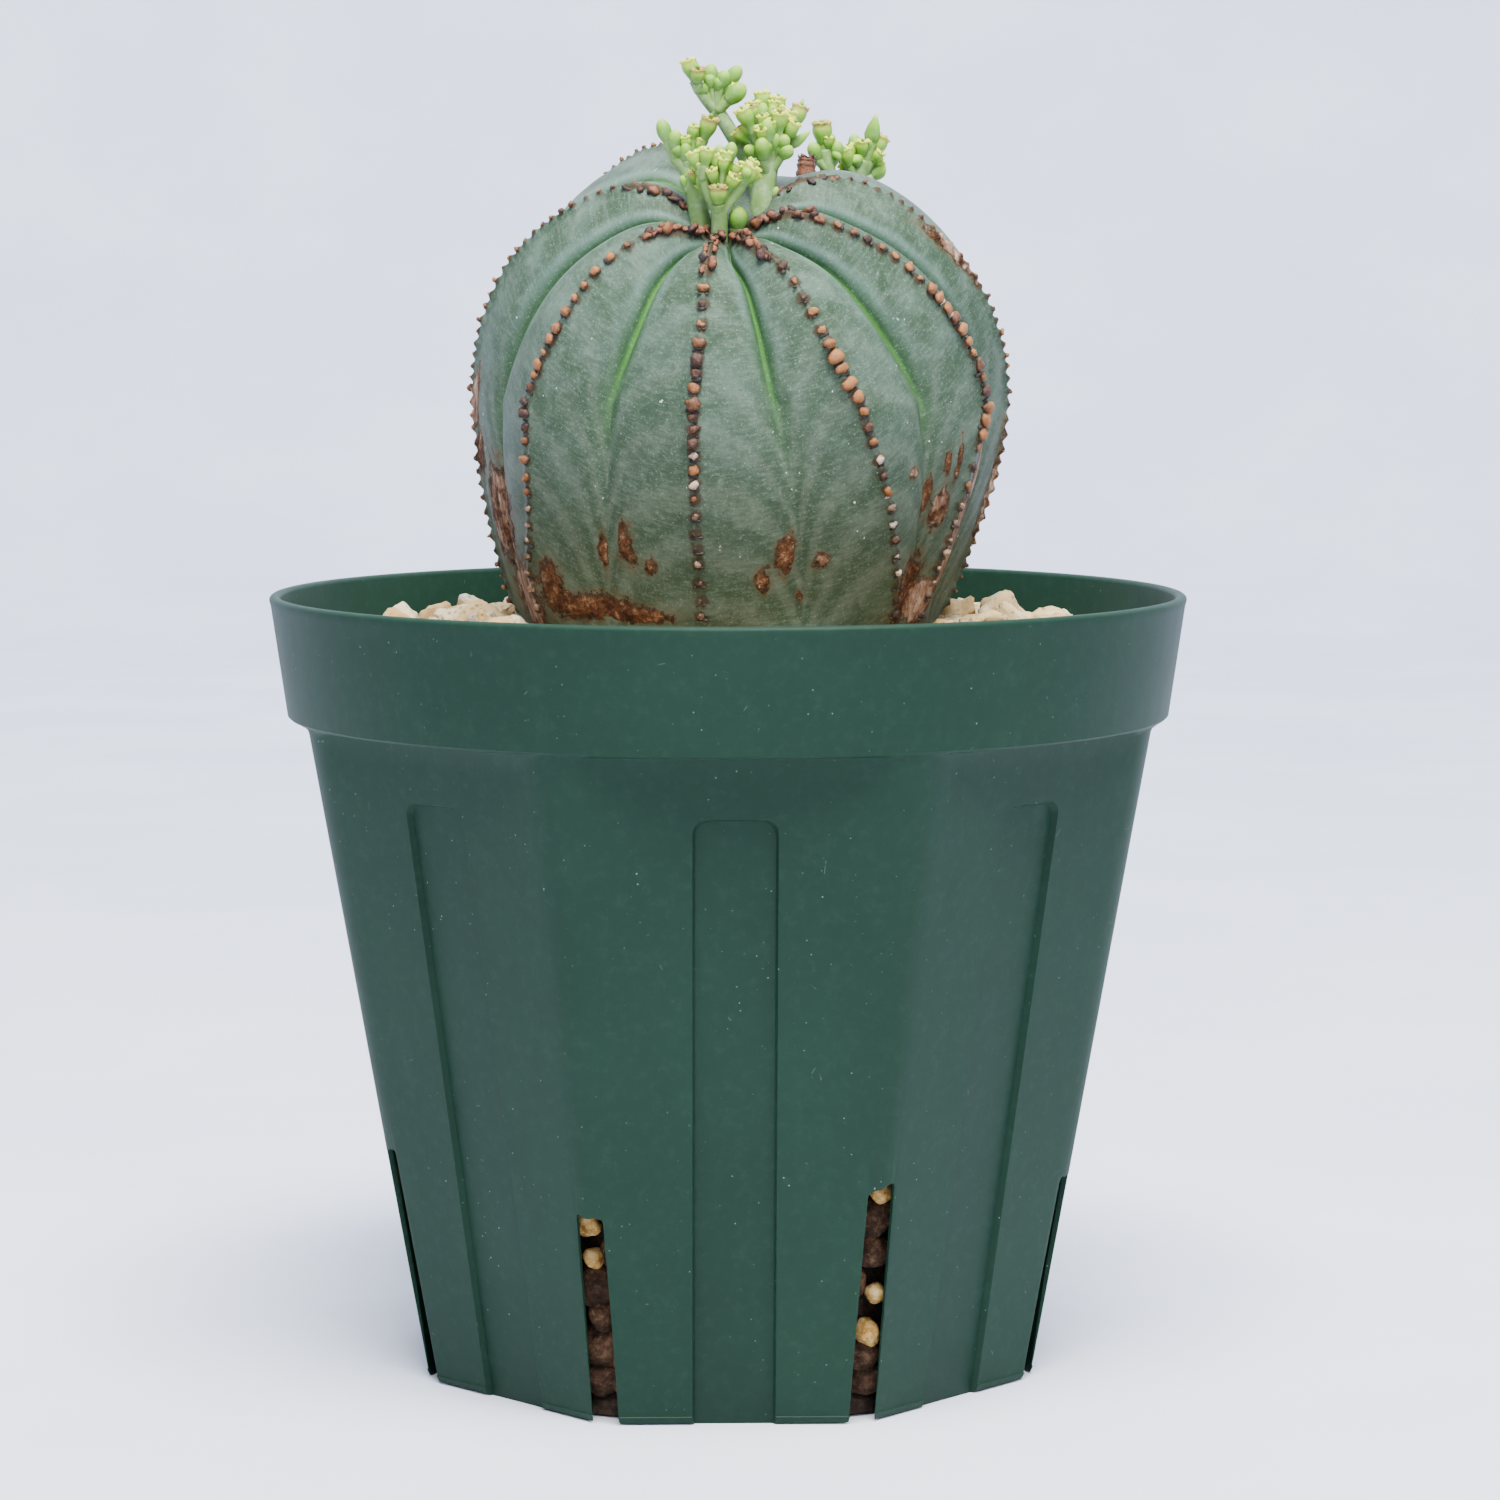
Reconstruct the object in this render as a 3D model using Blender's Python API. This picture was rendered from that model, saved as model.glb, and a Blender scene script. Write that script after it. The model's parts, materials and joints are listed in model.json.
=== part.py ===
"""A ribbed globe succulent with its flower stalks in an eight-sided slit pot.

Sizes are in millimetres and are turned into metres where a mesh is made. The pot stands on
z = 0 with its axis on z, and the front of the plant faces -y. Angles round the axis are
counted in degrees from the front (-y) towards +x.
"""

import math
import random

import bmesh
import bpy
import numpy as np
from mathutils import Vector
from mathutils.geometry import tessellate_polygon

MM = 0.001

# Pot
POT_HEIGHT = 88.8
POT_TURN = 2.0
SECTION_POINTS = 64
SHOULDER_Z = 74.2
BASE_APOTHEM, BASE_CORNER = 34.3, 37.1
SHOULDER_APOTHEM, SHOULDER_CORNER = 46.9, 50.1
WALL = 1.6
FLOOR = 1.5
RIM_RADIUS = 52.5
RIM_FOOT_RADIUS = 50.4
LIP = 1.3
SLIT_WIDTH = 3.1
SLIT_HEIGHTS = (26.8, 23.6)
SLIT_INNER_RADIUS = 29.5
PANEL_WIDTH = 9.1
PANEL_TOP = 68.0
PANEL_DEPTH = 0.7
PANEL_CORNER = 1.6
SIDES = 8

# Gap that touching pieces keep
GAP = 0.35

# Fill and stones
FILL_TOP = 73.9
BED_FOOT = 74.3
BED_INNER_Z, BED_OUTER_Z = 84.6, 81.6
STONE_COUNT = 56
CHUNK_SIZE = 2.7

# Plant: a globe about its own axis, and its root as heights and radii
PLANT_X, FOOT_X, PLANT_Y = 1.4, 0.2, 1.0
GLOBE_Z, GLOBE_RADIUS, CROWN_HEIGHT, BLUNT = 111.0, 29.9, 28.9, 2.2
FLANK_REACH, FLANK_CURVE = 68.8, 1.57
ROOT = ((84.0, 23.0), (79.0, 20.6), (74.0, 16.6), (69.0, 10.6), (65.0, 5.6), (62.5, 2.2))
CRESTS = (-7.0, 34.0, 82.0, 118.0, 152.0, 190.0, 226.0, 262.0, 301.0)
FRONT_POINT = (-1.2, -17.0)
BACK_POINT = (10.2, 13.5)
GROWTH_HEIGHT = 24.8
DIP_DEPTH, DIP_WIDTH = 6.2, 6.5
ACROSS = (-1.0, -0.8, -0.42, -0.14, 0.0, 0.14, 0.42, 0.8)
CROWN_ROWS = 26
FLANK_ROWS = (109.3, 107.6, 105.9, 104.2, 102.5, 100.8, 99.1, 97.4, 95.7, 94.0, 92.3, 90.6, 88.9,
              87.2, 85.4, 82.0, 78.0, 73.0, 68.0, 64.5, 62.5)
RIB_DEPTH = 2.1
GROOVE_DEPTH = 0.9
NUB_HEIGHT = 0.75

# Flower stalks: what each limb ends in, and its points as x, y, z and radius
SPRAYS = {
    "spray_left": (
        ("stem", (-2.3, -16.5, 127.6, 1.20), (-3.1, -16.0, 132.6, 1.05), (-4.1, -15.5, 136.2, 0.90),
         (-5.8, -15.2, 137.9, 0.60)),
        ("bud", (-5.7, -15.2, 137.5, 0.45), (-6.3, -15.1, 139.2, 0.50), (-7.2, -15.0, 142.0, 0.80)),
        ("bud", (-5.6, -15.4, 137.6, 0.45), (-5.7, -15.8, 138.7, 0.50), (-5.4, -16.0, 140.8, 0.75)),
        ("bud", (-3.9, -15.6, 135.6, 0.50), (-4.3, -16.0, 137.3, 0.50), (-4.4, -16.2, 139.5, 0.65)),
        ("bud", (-3.9, -15.2, 135.8, 0.55), (-3.6, -14.8, 138.6, 0.50), (-3.5, -14.6, 141.7, 0.75)),
        ("cup", (-3.6, -14.9, 138.0, 0.50), (-2.5, -14.6, 139.5, 0.55), (-1.7, -15.0, 142.0, 0.95)),
        ("bud", (-3.7, -16.0, 133.6, 0.40), (-4.3, -16.2, 134.3, 0.35), (-4.8, -16.2, 135.8, 0.45)),
    ),
    "spray_centre": (
        ("stem", (-0.7, -18.2, 127.0, 0.95), (-0.6, -18.8, 130.9, 0.85), (-0.7, -19.3, 132.5, 0.80)),
        ("cup", (-0.7, -19.2, 131.8, 0.70), (-0.7, -19.6, 132.6, 0.80), (-0.7, -20.0, 134.4, 1.00)),
        ("stem", (-0.7, -19.0, 131.6, 0.60), (-1.7, -19.0, 133.5, 0.60), (-2.4, -19.0, 135.7, 0.60)),
        ("cup", (-2.4, -19.0, 135.3, 0.50), (-2.8, -19.0, 136.3, 0.50), (-3.5, -19.0, 138.1, 0.75)),
        ("cup", (-2.4, -19.2, 135.2, 0.50), (-2.2, -19.6, 136.5, 0.50), (-1.9, -19.9, 138.5, 0.75)),
        ("stem", (-0.6, -18.6, 131.8, 0.60), (-0.1, -17.9, 134.2, 0.60), (0.1, -17.6, 136.6, 0.60)),
        ("bud", (0.1, -17.6, 135.9, 0.45), (-0.3, -17.6, 137.0, 0.50), (-0.7, -17.5, 139.1, 0.70)),
        ("bud", (0.1, -17.6, 135.9, 0.45), (0.4, -17.6, 137.2, 0.50), (0.8, -17.6, 139.4, 0.70)),
        ("cup", (-0.4, -18.8, 131.6, 0.55), (1.2, -19.0, 133.8, 0.65), (3.1, -19.4, 136.6, 0.90)),
    ),
    "bud_short": (
        ("bud", (1.5, -17.4, 127.0, 0.80), (1.4, -18.0, 129.8, 0.85), (1.5, -18.4, 132.4, 1.00)),
    ),
    "spray_right": (
        ("stem", (3.6, -15.0, 127.8, 1.40), (4.1, -14.0, 133.5, 1.25), (4.8, -13.2, 137.6, 1.10)),
        ("cup", (4.5, -13.4, 136.7, 0.60), (3.5, -13.9, 139.8, 0.65), (1.8, -14.6, 143.0, 0.90)),
        ("cup", (4.4, -13.0, 136.9, 0.50), (3.4, -12.6, 140.3, 0.55), (3.0, -12.4, 143.8, 0.85)),
        ("bud", (4.6, -14.0, 135.6, 0.50), (4.1, -15.0, 137.5, 0.55), (4.0, -15.6, 140.0, 0.85)),
        ("cup", (4.7, -12.8, 136.9, 0.60), (4.4, -11.6, 140.9, 0.60), (4.0, -11.0, 144.9, 0.90)),
        ("cup", (4.9, -12.8, 136.9, 0.60), (5.3, -12.0, 140.9, 0.60), (5.7, -11.4, 144.3, 0.90)),
        ("bud", (4.8, -13.6, 136.7, 0.50), (4.7, -14.6, 139.4, 0.55), (4.6, -15.2, 142.0, 0.85)),
        ("cup", (5.0, -13.6, 136.9, 0.50), (5.8, -14.2, 139.7, 0.55), (6.0, -14.8, 142.6, 0.85)),
        ("cup", (5.0, -13.0, 136.9, 0.50), (6.4, -12.6, 139.8, 0.60), (7.1, -12.4, 142.8, 0.85)),
        ("cup", (5.0, -12.6, 136.7, 0.50), (6.9, -11.0, 139.6, 0.60), (8.2, -10.2, 143.4, 0.90)),
        ("bract", (5.0, -13.2, 136.7, 0.50), (6.9, -12.6, 138.9, 0.55), (9.4, -12.0, 140.8, 0.50)),
        ("bract", (5.0, -12.2, 136.7, 0.50), (7.1, -9.4, 140.5, 0.55), (8.6, -8.6, 144.6, 0.50)),
        ("bud", (4.4, -14.4, 131.9, 0.40), (5.1, -14.4, 132.8, 0.35), (5.7, -14.3, 134.6, 0.45)),
        ("stem", (4.0, -13.6, 131.9, 0.90), (2.7, -12.0, 136.7, 0.85), (0.2, -11.4, 141.2, 0.80),
         (-1.1, -11.2, 143.1, 0.80)),
        ("stem", (-1.0, -11.2, 142.7, 0.60), (-2.2, -11.2, 144.2, 0.60), (-3.1, -11.2, 145.6, 0.65)),
        ("cup", (-3.0, -11.2, 145.1, 0.55), (-3.4, -11.2, 146.2, 0.65), (-4.2, -11.2, 148.5, 0.90)),
        ("cup", (-3.0, -11.6, 145.1, 0.50), (-3.1, -12.0, 146.0, 0.55), (-3.1, -12.4, 147.5, 0.80)),
        ("bud", (-1.3, -11.0, 142.9, 0.50), (-1.7, -10.8, 144.8, 0.55), (-1.7, -10.6, 148.3, 0.80)),
        ("bud", (-1.1, -11.0, 142.9, 0.50), (-0.6, -10.8, 145.1, 0.55), (1.6, -10.6, 148.0, 0.80)),
        ("bud", (-1.0, -11.6, 142.8, 0.55), (0.1, -11.8, 144.0, 0.60), (2.1, -12.0, 145.9, 1.00)),
    ),
    "spray_back_left": (
        ("stem", (12.2, 14.0, 131.0, 1.00), (11.4, 14.0, 137.2, 0.90), (11.0, 14.0, 139.5, 0.80)),
        ("cup", (11.1, 14.0, 138.8, 0.60), (10.9, 14.0, 140.0, 0.70), (10.7, 14.0, 142.5, 1.10)),
        ("bud", (11.4, 14.0, 137.0, 0.50), (12.3, 14.0, 138.4, 0.50), (12.6, 14.0, 140.6, 0.80)),
        ("bud", (11.4, 13.6, 137.0, 0.50), (10.2, 13.2, 138.3, 0.50), (9.5, 13.0, 140.4, 0.80)),
    ),
    "spray_back_right": (
        ("stem", (14.3, 17.0, 129.6, 1.00), (14.9, 17.0, 136.1, 0.95), (15.7, 17.0, 138.4, 0.80)),
        ("bract", (15.6, 17.0, 137.7, 0.60), (16.4, 17.0, 140.3, 0.80), (17.1, 17.0, 143.8, 0.80)),
        ("cup", (15.6, 17.2, 137.5, 0.55), (16.6, 17.6, 138.9, 0.60), (17.7, 18.0, 141.0, 1.00)),
        ("bud", (15.1, 17.0, 135.9, 0.50), (16.6, 17.5, 136.4, 0.60), (18.1, 18.0, 137.8, 0.90)),
        ("cup", (14.9, 16.8, 135.6, 0.50), (14.0, 16.2, 137.5, 0.60), (13.4, 15.9, 139.6, 0.90)),
        ("bud", (15.2, 17.6, 137.1, 0.50), (14.9, 18.2, 139.1, 0.50), (14.4, 18.6, 141.5, 0.80)),
    ),
    "dried_stalk": (
        ("stump", (8.8, -1.5, 133.0, 1.20), (8.9, -1.2, 137.1, 1.00), (9.2, -1.0, 140.0, 0.80)),
    ),
}


def reset_scene():
    for obj in list(bpy.data.objects):
        bpy.data.objects.remove(obj, do_unlink=True)


def new_collection(name):
    collection = bpy.data.collections.new(name)
    bpy.context.scene.collection.children.link(collection)
    return collection


def make_material(name, color, roughness, specular=0.5):
    material = bpy.data.materials.new(name)
    material.use_nodes = True
    shader = material.node_tree.nodes["Principled BSDF"]
    shader.inputs["Base Color"].default_value = (*color, 1.0)
    shader.inputs["Roughness"].default_value = roughness
    shader.inputs["Metallic"].default_value = 0.0
    shader.inputs["Specular IOR Level"].default_value = specular
    return material


def pot_plastic():
    return make_material("pot_plastic", (0.032, 0.095, 0.068), 0.5)


def plant_skin():
    return make_material("plant_skin", (0.13, 0.21, 0.14), 0.6)


def stalk_green():
    return make_material("stalk_green", (0.36, 0.50, 0.15), 0.55)


def pale_stone():
    return make_material("pale_stone", (0.56, 0.46, 0.31), 0.9)


def brown_mix():
    return make_material("brown_mix", (0.11, 0.065, 0.035), 0.95)


def dry_cork():
    return make_material("dry_cork", (0.22, 0.11, 0.06), 0.85)


def mesh_object(name, points, faces, collection, material=None, smooth=True, sharp=None):
    """A mesh from points in millimetres, with its normals turned outwards."""
    mesh = bpy.data.meshes.new(name)
    mesh.from_pydata([tuple(c * MM for c in p) for p in points], [], faces)
    shell = bmesh.new()
    shell.from_mesh(mesh)
    bmesh.ops.recalc_face_normals(shell, faces=shell.faces)
    shell.to_mesh(mesh)
    shell.free()
    mesh.shade_smooth() if smooth else mesh.shade_flat()
    if sharp is not None:
        mesh.set_sharp_from_angle(angle=math.radians(sharp))
    if material is not None:
        mesh.materials.append(material)
    obj = bpy.data.objects.new(name, mesh)
    collection.objects.link(obj)
    return obj


def as_helper(obj):
    obj.display_type = "WIRE"
    obj.hide_render = True


def use_boolean(obj, operation, collection=None, other=None, solver="MANIFOLD"):
    """One Boolean against a collection or an object, applied at once."""
    boolean = obj.modifiers.new(operation.lower(), "BOOLEAN")
    boolean.operation = operation
    boolean.solver = solver
    if collection is not None:
        boolean.operand_type = "COLLECTION"
        boolean.collection = collection
    else:
        boolean.object = other
    bpy.context.view_layer.update()
    result = bpy.data.meshes.new_from_object(
        obj.evaluated_get(bpy.context.evaluated_depsgraph_get()))
    obj.modifiers.clear()
    old = obj.data
    obj.data = result
    bpy.data.meshes.remove(old)


def keep_largest_body(obj):
    """Drops the scraps that a cut leaves loose, and the walls of any sealed hollow."""
    shell = bmesh.new()
    shell.from_mesh(obj.data)
    left, bodies = set(shell.verts), []
    while left:
        body, todo = set(), [left.pop()]
        while todo:
            vert = todo.pop()
            body.add(vert)
            for edge in vert.link_edges:
                other = edge.other_vert(vert)
                if other in left:
                    left.remove(other)
                    todo.append(other)
        bodies.append(body)
    bodies.sort(key=len)
    loose = [vert for body in bodies[:-1] for vert in body]
    bmesh.ops.delete(shell, geom=loose, context="VERTS")
    shell.to_mesh(obj.data)
    shell.free()


def drop_collection(collection):
    for obj in list(collection.objects):
        bpy.data.objects.remove(obj, do_unlink=True)
    bpy.data.collections.remove(collection)


def loft_faces(ring_count, ring_size, closed_ends=True):
    """Quads between rings of equal size, and one face over each end."""
    faces = []
    for r in range(ring_count - 1):
        for k in range(ring_size):
            n = (k + 1) % ring_size
            faces.append((r * ring_size + k, r * ring_size + n,
                          (r + 1) * ring_size + n, (r + 1) * ring_size + k))
    if closed_ends:
        faces.append(tuple(range(ring_size)))
        last = (ring_count - 1) * ring_size
        faces.append(tuple(range(last, last + ring_size)))
    return faces


def around(angle, radius, z):
    """The point at an angle in degrees from the front, at a radius and a height."""
    a = math.radians(angle)
    return (radius * math.sin(a), -radius * math.cos(a), z)


def octagon_radius(angle, apothem, corner):
    """Radius of an octagon whose corners are rounded to a circle."""
    step = 360.0 / SIDES
    off = (angle - POT_TURN + step / 2) % step - step / 2
    return min(apothem / math.cos(math.radians(off)), corner)


def ring(apothem, corner, z, count=SECTION_POINTS):
    points = []
    for k in range(count):
        angle = POT_TURN + k * 360.0 / count
        points.append(around(angle, octagon_radius(angle, apothem, corner), z))
    return points


def circle(radius, z, count=SECTION_POINTS):
    return ring(radius * 2, radius, z, count)


def wall_at(z, inset=0.0):
    """Apothem and corner radius of the body's outside at a height, less an inset."""
    t = z / SHOULDER_Z
    apothem = BASE_APOTHEM + (SHOULDER_APOTHEM - BASE_APOTHEM) * t
    corner = BASE_CORNER + (SHOULDER_CORNER - BASE_CORNER) * t
    return apothem - inset, corner - inset


def pot_rings():
    rings = [ring(*wall_at(0.0, 0.4), 0.0), ring(*wall_at(0.4), 0.4), ring(*wall_at(37.0), 37.0),
             ring(*wall_at(SHOULDER_Z), SHOULDER_Z), ring(47.6, 50.3, 74.8)]
    rings += [circle(RIM_FOOT_RADIUS, 75.0), circle(RIM_FOOT_RADIUS + 0.15, 75.4),
              circle(RIM_RADIUS, POT_HEIGHT - 0.5), circle(RIM_RADIUS - 0.25, POT_HEIGHT)]
    rings += [circle(RIM_RADIUS - LIP + 0.25, POT_HEIGHT), circle(RIM_RADIUS - LIP, POT_HEIGHT - 0.4),
              circle(RIM_FOOT_RADIUS - 1.1, 75.6)]
    rings += [ring(*wall_at(73.6, WALL), 73.6), ring(*wall_at(37.0, WALL), 37.0),
              ring(*wall_at(FLOOR, WALL), FLOOR)]
    return rings


def slit_cutter(k, cutters):
    """A radial slot at a corner, open at the base and running into the floor."""
    angle = math.radians(POT_TURN + (k + 0.5) * 360.0 / SIDES)
    height = SLIT_HEIGHTS[k % 2]
    half = SLIT_WIDTH / 2
    profile = [(-half, -3.0), (half, -3.0), (half, height - 0.7), (half - 0.7, height),
               (0.7 - half, height), (-half, height - 0.7)]
    out = Vector((math.sin(angle), -math.cos(angle), 0.0))
    side = Vector((math.cos(angle), math.sin(angle), 0.0))
    points = []
    for reach in (SLIT_INNER_RADIUS, 60.0):
        points += [tuple(out * reach + side * x + Vector((0, 0, z))) for x, z in profile]
    as_helper(mesh_object(f"slit_{k}", points, loft_faces(2, len(profile)), cutters))


def panel_cutter(k, cutters):
    """A shallow upright recess in the middle of a face, with round top corners."""
    angle = math.radians(POT_TURN + k * 360.0 / SIDES)
    half = PANEL_WIDTH / 2
    profile = [(-half, -3.0), (half, -3.0)]
    for side in (1, -1):
        arc = [math.radians(a) for a in (0, 30, 60, 90)]
        arc = arc if side == 1 else arc[::-1]
        profile += [(side * (half - PANEL_CORNER + PANEL_CORNER * math.cos(a)),
                     PANEL_TOP - PANEL_CORNER + PANEL_CORNER * math.sin(a)) for a in arc]
    out = Vector((math.sin(angle), -math.cos(angle), 0.0))
    side = Vector((math.cos(angle), math.sin(angle), 0.0))
    points = []
    for proud in (-PANEL_DEPTH, 4.0):
        for x, z in profile:
            points.append(tuple(out * (wall_at(z)[0] + proud) + side * x + Vector((0, 0, z))))
    as_helper(mesh_object(f"panel_{k}", points, loft_faces(2, len(profile)), cutters))


def make_pot(parts):
    rings = pot_rings()
    points = [p for one in rings for p in one]
    pot = mesh_object("pot", points, loft_faces(len(rings), SECTION_POINTS), parts)
    cutters = new_collection("pot_cutters")
    for k in range(SIDES):
        slit_cutter(k, cutters)
        panel_cutter(k, cutters)
    use_boolean(pot, "DIFFERENCE", collection=cutters)
    drop_collection(cutters)
    pot.data.shade_smooth()
    pot.data.set_sharp_from_angle(angle=math.radians(28))
    pot.data.materials.clear()
    pot.data.materials.append(pot_plastic())
    return pot


def stone(name, centre, size, draw, collection):
    """An irregular low stone: a small ball pulled out of shape."""
    ball = bmesh.new()
    bmesh.ops.create_icosphere(ball, subdivisions=1, radius=1.0)
    turn = Vector((draw.uniform(-1, 1), draw.uniform(-1, 1), draw.uniform(-1, 1)))
    spin = Vector((0, 0, 1)).rotation_difference(turn)
    points = []
    for vert in ball.verts:
        p = spin @ vert.co * draw.uniform(0.8, 1.15)
        points.append(tuple(c + p[i] * size[i] for i, c in enumerate(centre)))
    faces = [tuple(v.index for v in f.verts) for f in ball.faces]
    ball.free()
    return mesh_object(name, points, faces, collection, smooth=False)


def flank_radius(z):
    """Radius of the plant's smooth envelope below its widest level."""
    if z >= ROOT[0][0]:
        return GLOBE_RADIUS * (1 - (max(GLOBE_Z - z, 0.0) / FLANK_REACH) ** FLANK_CURVE)
    heights = [h for h, _ in ROOT][::-1]
    radii = [r for _, r in ROOT][::-1]
    return float(np.interp(z, heights, radii))


def axis_x(z):
    """The globe leans a little: its middle moves from over the foot to the right."""
    return FOOT_X + (PLANT_X - FOOT_X) * smoothstep((z - 86.0) / 25.0)


def hollow(z, count):
    """A ring round the plant's root with the gap that touching pieces keep."""
    radius = flank_radius(z) + GAP
    points = []
    for k in range(count):
        x, y, _ = around(POT_TURN + k * 360.0 / count, radius, z)
        points.append((x + axis_x(z), y + PLANT_Y, z))
    return points


def make_fill(parts):
    """The brown mix: the pot's inside less a gap, with lumps where the slits show it."""
    draw = random.Random(11)
    count = 32
    rings = []
    for z in (FLOOR + GAP, 9.0, 18.0, 27.0, 40.0, 56.0, FILL_TOP - GAP):
        apothem, corner = wall_at(z, WALL + GAP)
        sink = 1.5 if z < 30 else 0.0
        rings.append(ring(apothem, corner - sink, z, count))
    rings += [hollow(z, count) for z in (FILL_TOP - GAP, 69.0, 65.0, 61.8)]
    points = [p for one in rings for p in one]
    fill = mesh_object("soil_mix", points, loft_faces(len(rings), count), parts, smooth=False)
    lumps = new_collection("lumps")
    for k in range(SIDES):
        angle = POT_TURN + (k + 0.5) * 360.0 / SIDES
        for level in (4.6, 10.2, 15.8, 21.4):
            size = CHUNK_SIZE * draw.uniform(0.85, 1.0)
            reach = wall_at(level)[1] - WALL - GAP - 1.15 * size - 0.5
            centre = around(angle + draw.uniform(-1.2, 1.2), reach, level)
            stone(f"lump_{k}_{level}", centre, (size, size, size), draw, lumps)
    use_boolean(fill, "UNION", collection=lumps)
    drop_collection(lumps)
    fill.data.materials.clear()
    fill.data.materials.append(brown_mix())
    return fill


def bed_height(radius):
    t = min(max((radius - 25.0) / 24.0, 0.0), 1.0)
    return BED_INNER_Z + (BED_OUTER_Z - BED_INNER_Z) * t


def stone_places(draw):
    """Centres and sizes of the top stones, thrown one by one and kept where they fit."""
    placed = [(31.2, 6.0, 85.3, (4.6, 4.0, 3.0)), (38.5, 7.0, 84.3, (3.6, 3.2, 2.6)),
              (-31.0, 5.0, 84.6, (3.6, 3.4, 2.6)), (-38.0, 6.0, 84.0, (3.6, 3.4, 2.6))]
    tries = 0
    while len(placed) < STONE_COUNT and tries < 9000:
        tries += 1
        across = draw.uniform(2.7, 4.1)
        size = (across, across * draw.uniform(0.8, 1.0), across * draw.uniform(0.6, 0.8))
        angle = draw.uniform(0, 360)
        x, y, _ = around(angle, draw.uniform(27.0, 47.0), 0.0)
        from_plant = math.hypot(x - FOOT_X, y - PLANT_Y)
        from_axis = math.hypot(x, y)
        if from_plant < 25.6 + 1.15 * across or from_axis > 49.0 - 1.15 * across:
            continue
        if any(math.hypot(x - p[0], y - p[1]) < 0.75 * (across + p[3][0]) for p in placed):
            continue
        placed.append((x, y, bed_height(from_axis) + 0.25 * size[2], size))
    return placed


def make_top_dressing(parts):
    draw = random.Random(5)
    count = 32
    rings = [hollow(z, count) for z in (BED_FOOT, 79.0, BED_INNER_Z)]
    for radius in (31.0, 37.0, 43.0):
        rings.append(circle(radius, bed_height(radius) - 0.4, count))
    rings += [circle(49.1, BED_OUTER_Z, count), circle(48.4, BED_FOOT + 1.2, count),
              ring(44.6, 47.6, BED_FOOT, count)]
    points = [p for one in rings for p in one]
    faces = loft_faces(len(rings), count, closed_ends=False)
    last = (len(rings) - 1) * count
    faces += [(last + k, last + (k + 1) % count, (k + 1) % count, k) for k in range(count)]
    bed = mesh_object("top_dressing", points, faces, parts, smooth=False)
    stones = new_collection("stones")
    for k, (x, y, z, size) in enumerate(stone_places(draw)):
        stone(f"stone_{k}", (x, y, z), size, draw, stones)
    use_boolean(bed, "UNION", collection=stones)
    drop_collection(stones)
    bed.data.materials.clear()
    bed.data.materials.append(pale_stone())
    return bed


def smoothstep(x):
    x = min(max(x, 0.0), 1.0)
    return x * x * (3 - 2 * x)


def growth_direction(angle):
    """Where the ribs start: the front point, or further back along the growing line."""
    a = (angle + 99.0) % 360.0 - 99.0
    if a < 91.0:
        share = 0.0
    elif a < 141.0:
        share = smoothstep((a - 91.0) / 50.0)
    else:
        share = 1.0 - smoothstep((a - 141.0) / 120.0)
    front = Vector((*FRONT_POINT, GROWTH_HEIGHT)).normalized()
    back = Vector((*BACK_POINT, GROWTH_HEIGHT)).normalized()
    return front.slerp(back, share)


def crown_point(direction):
    """Where a line from the middle of the globe meets the crown, a blunt ellipsoid."""
    wide = math.hypot(direction.x, direction.y) / GLOBE_RADIUS
    high = abs(direction.z) / CROWN_HEIGHT
    return direction * (wide ** BLUNT + high ** BLUNT) ** (-1.0 / BLUNT)


def line_distance(x, y):
    """Distance in plan from the growing line, and how far along it, 0 front to 1 back."""
    (ax, ay), (bx, by) = FRONT_POINT, BACK_POINT
    dx, dy = bx - ax, by - ay
    t = min(max(((x - ax) * dx + (y - ay) * dy) / (dx * dx + dy * dy), 0.0), 1.0)
    return math.hypot(x - ax - t * dx, y - ay - t * dy), t


def envelope_point(angle, row):
    """A point of the smooth globe. Rows 0 to 1 are the crown, and from 1 on the flank."""
    a = math.radians(angle)
    out = (math.sin(a), -math.cos(a))
    if row < 1.0:
        level = Vector((out[0], out[1], 0.0))
        x, y, z = crown_point(growth_direction(angle).slerp(level, row))
        off, along = line_distance(x, y)
        dip = (DIP_DEPTH - 2.6 * math.sin(along * math.pi)) * math.exp(-((off / DIP_WIDTH) ** 2))
        z += GLOBE_Z - dip
    else:
        z = GLOBE_Z - (row - 1.0)
        x, y = (flank_radius(z) * c for c in out)
    return Vector((x + axis_x(z), y + PLANT_Y, z))


def crest_columns():
    """The angle, the share across the rib and the rib's number for each column."""
    columns = []
    total = len(CRESTS)
    for k, crest in enumerate(CRESTS):
        before = (crest - CRESTS[k - 1]) % 360.0 / 2
        after = (CRESTS[(k + 1) % total] - crest) % 360.0 / 2
        for share in ACROSS:
            columns.append((crest + share * (before if share < 0 else after), share, k))
    return columns


def relief(share, rib, row_number, row, z, draw):
    """Height over the smooth globe: ribs, furrows and the nubs along each crest."""
    across = abs(share)
    fade = smoothstep((z - 84.5) / 4.0)
    upper = smoothstep((z - 98.0) / 22.0)
    start = smoothstep((row - 0.05) / 0.3)
    depth = RIB_DEPTH * (0.45 + 0.55 * upper) * (0.35 + 0.65 * start)
    height = 0.35 - depth * across ** 1.5
    height -= GROOVE_DEPTH * (0.15 + 0.85 * upper) * start * max(0.0, 1 - (1 - across) / 0.15)
    if across < 0.01 and (row_number + rib) % 2 == 0:
        height += NUB_HEIGHT * draw.uniform(0.75, 1.3)
        if 0.1 < row < 0.42:
            height += draw.uniform(0.2, 0.9)
    return height * fade


def body_rows():
    rows = [0.06 + 0.94 * k / (CROWN_ROWS - 1) for k in range(CROWN_ROWS)]
    return rows + [1.0 + GLOBE_Z - z for z in FLANK_ROWS]


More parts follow.
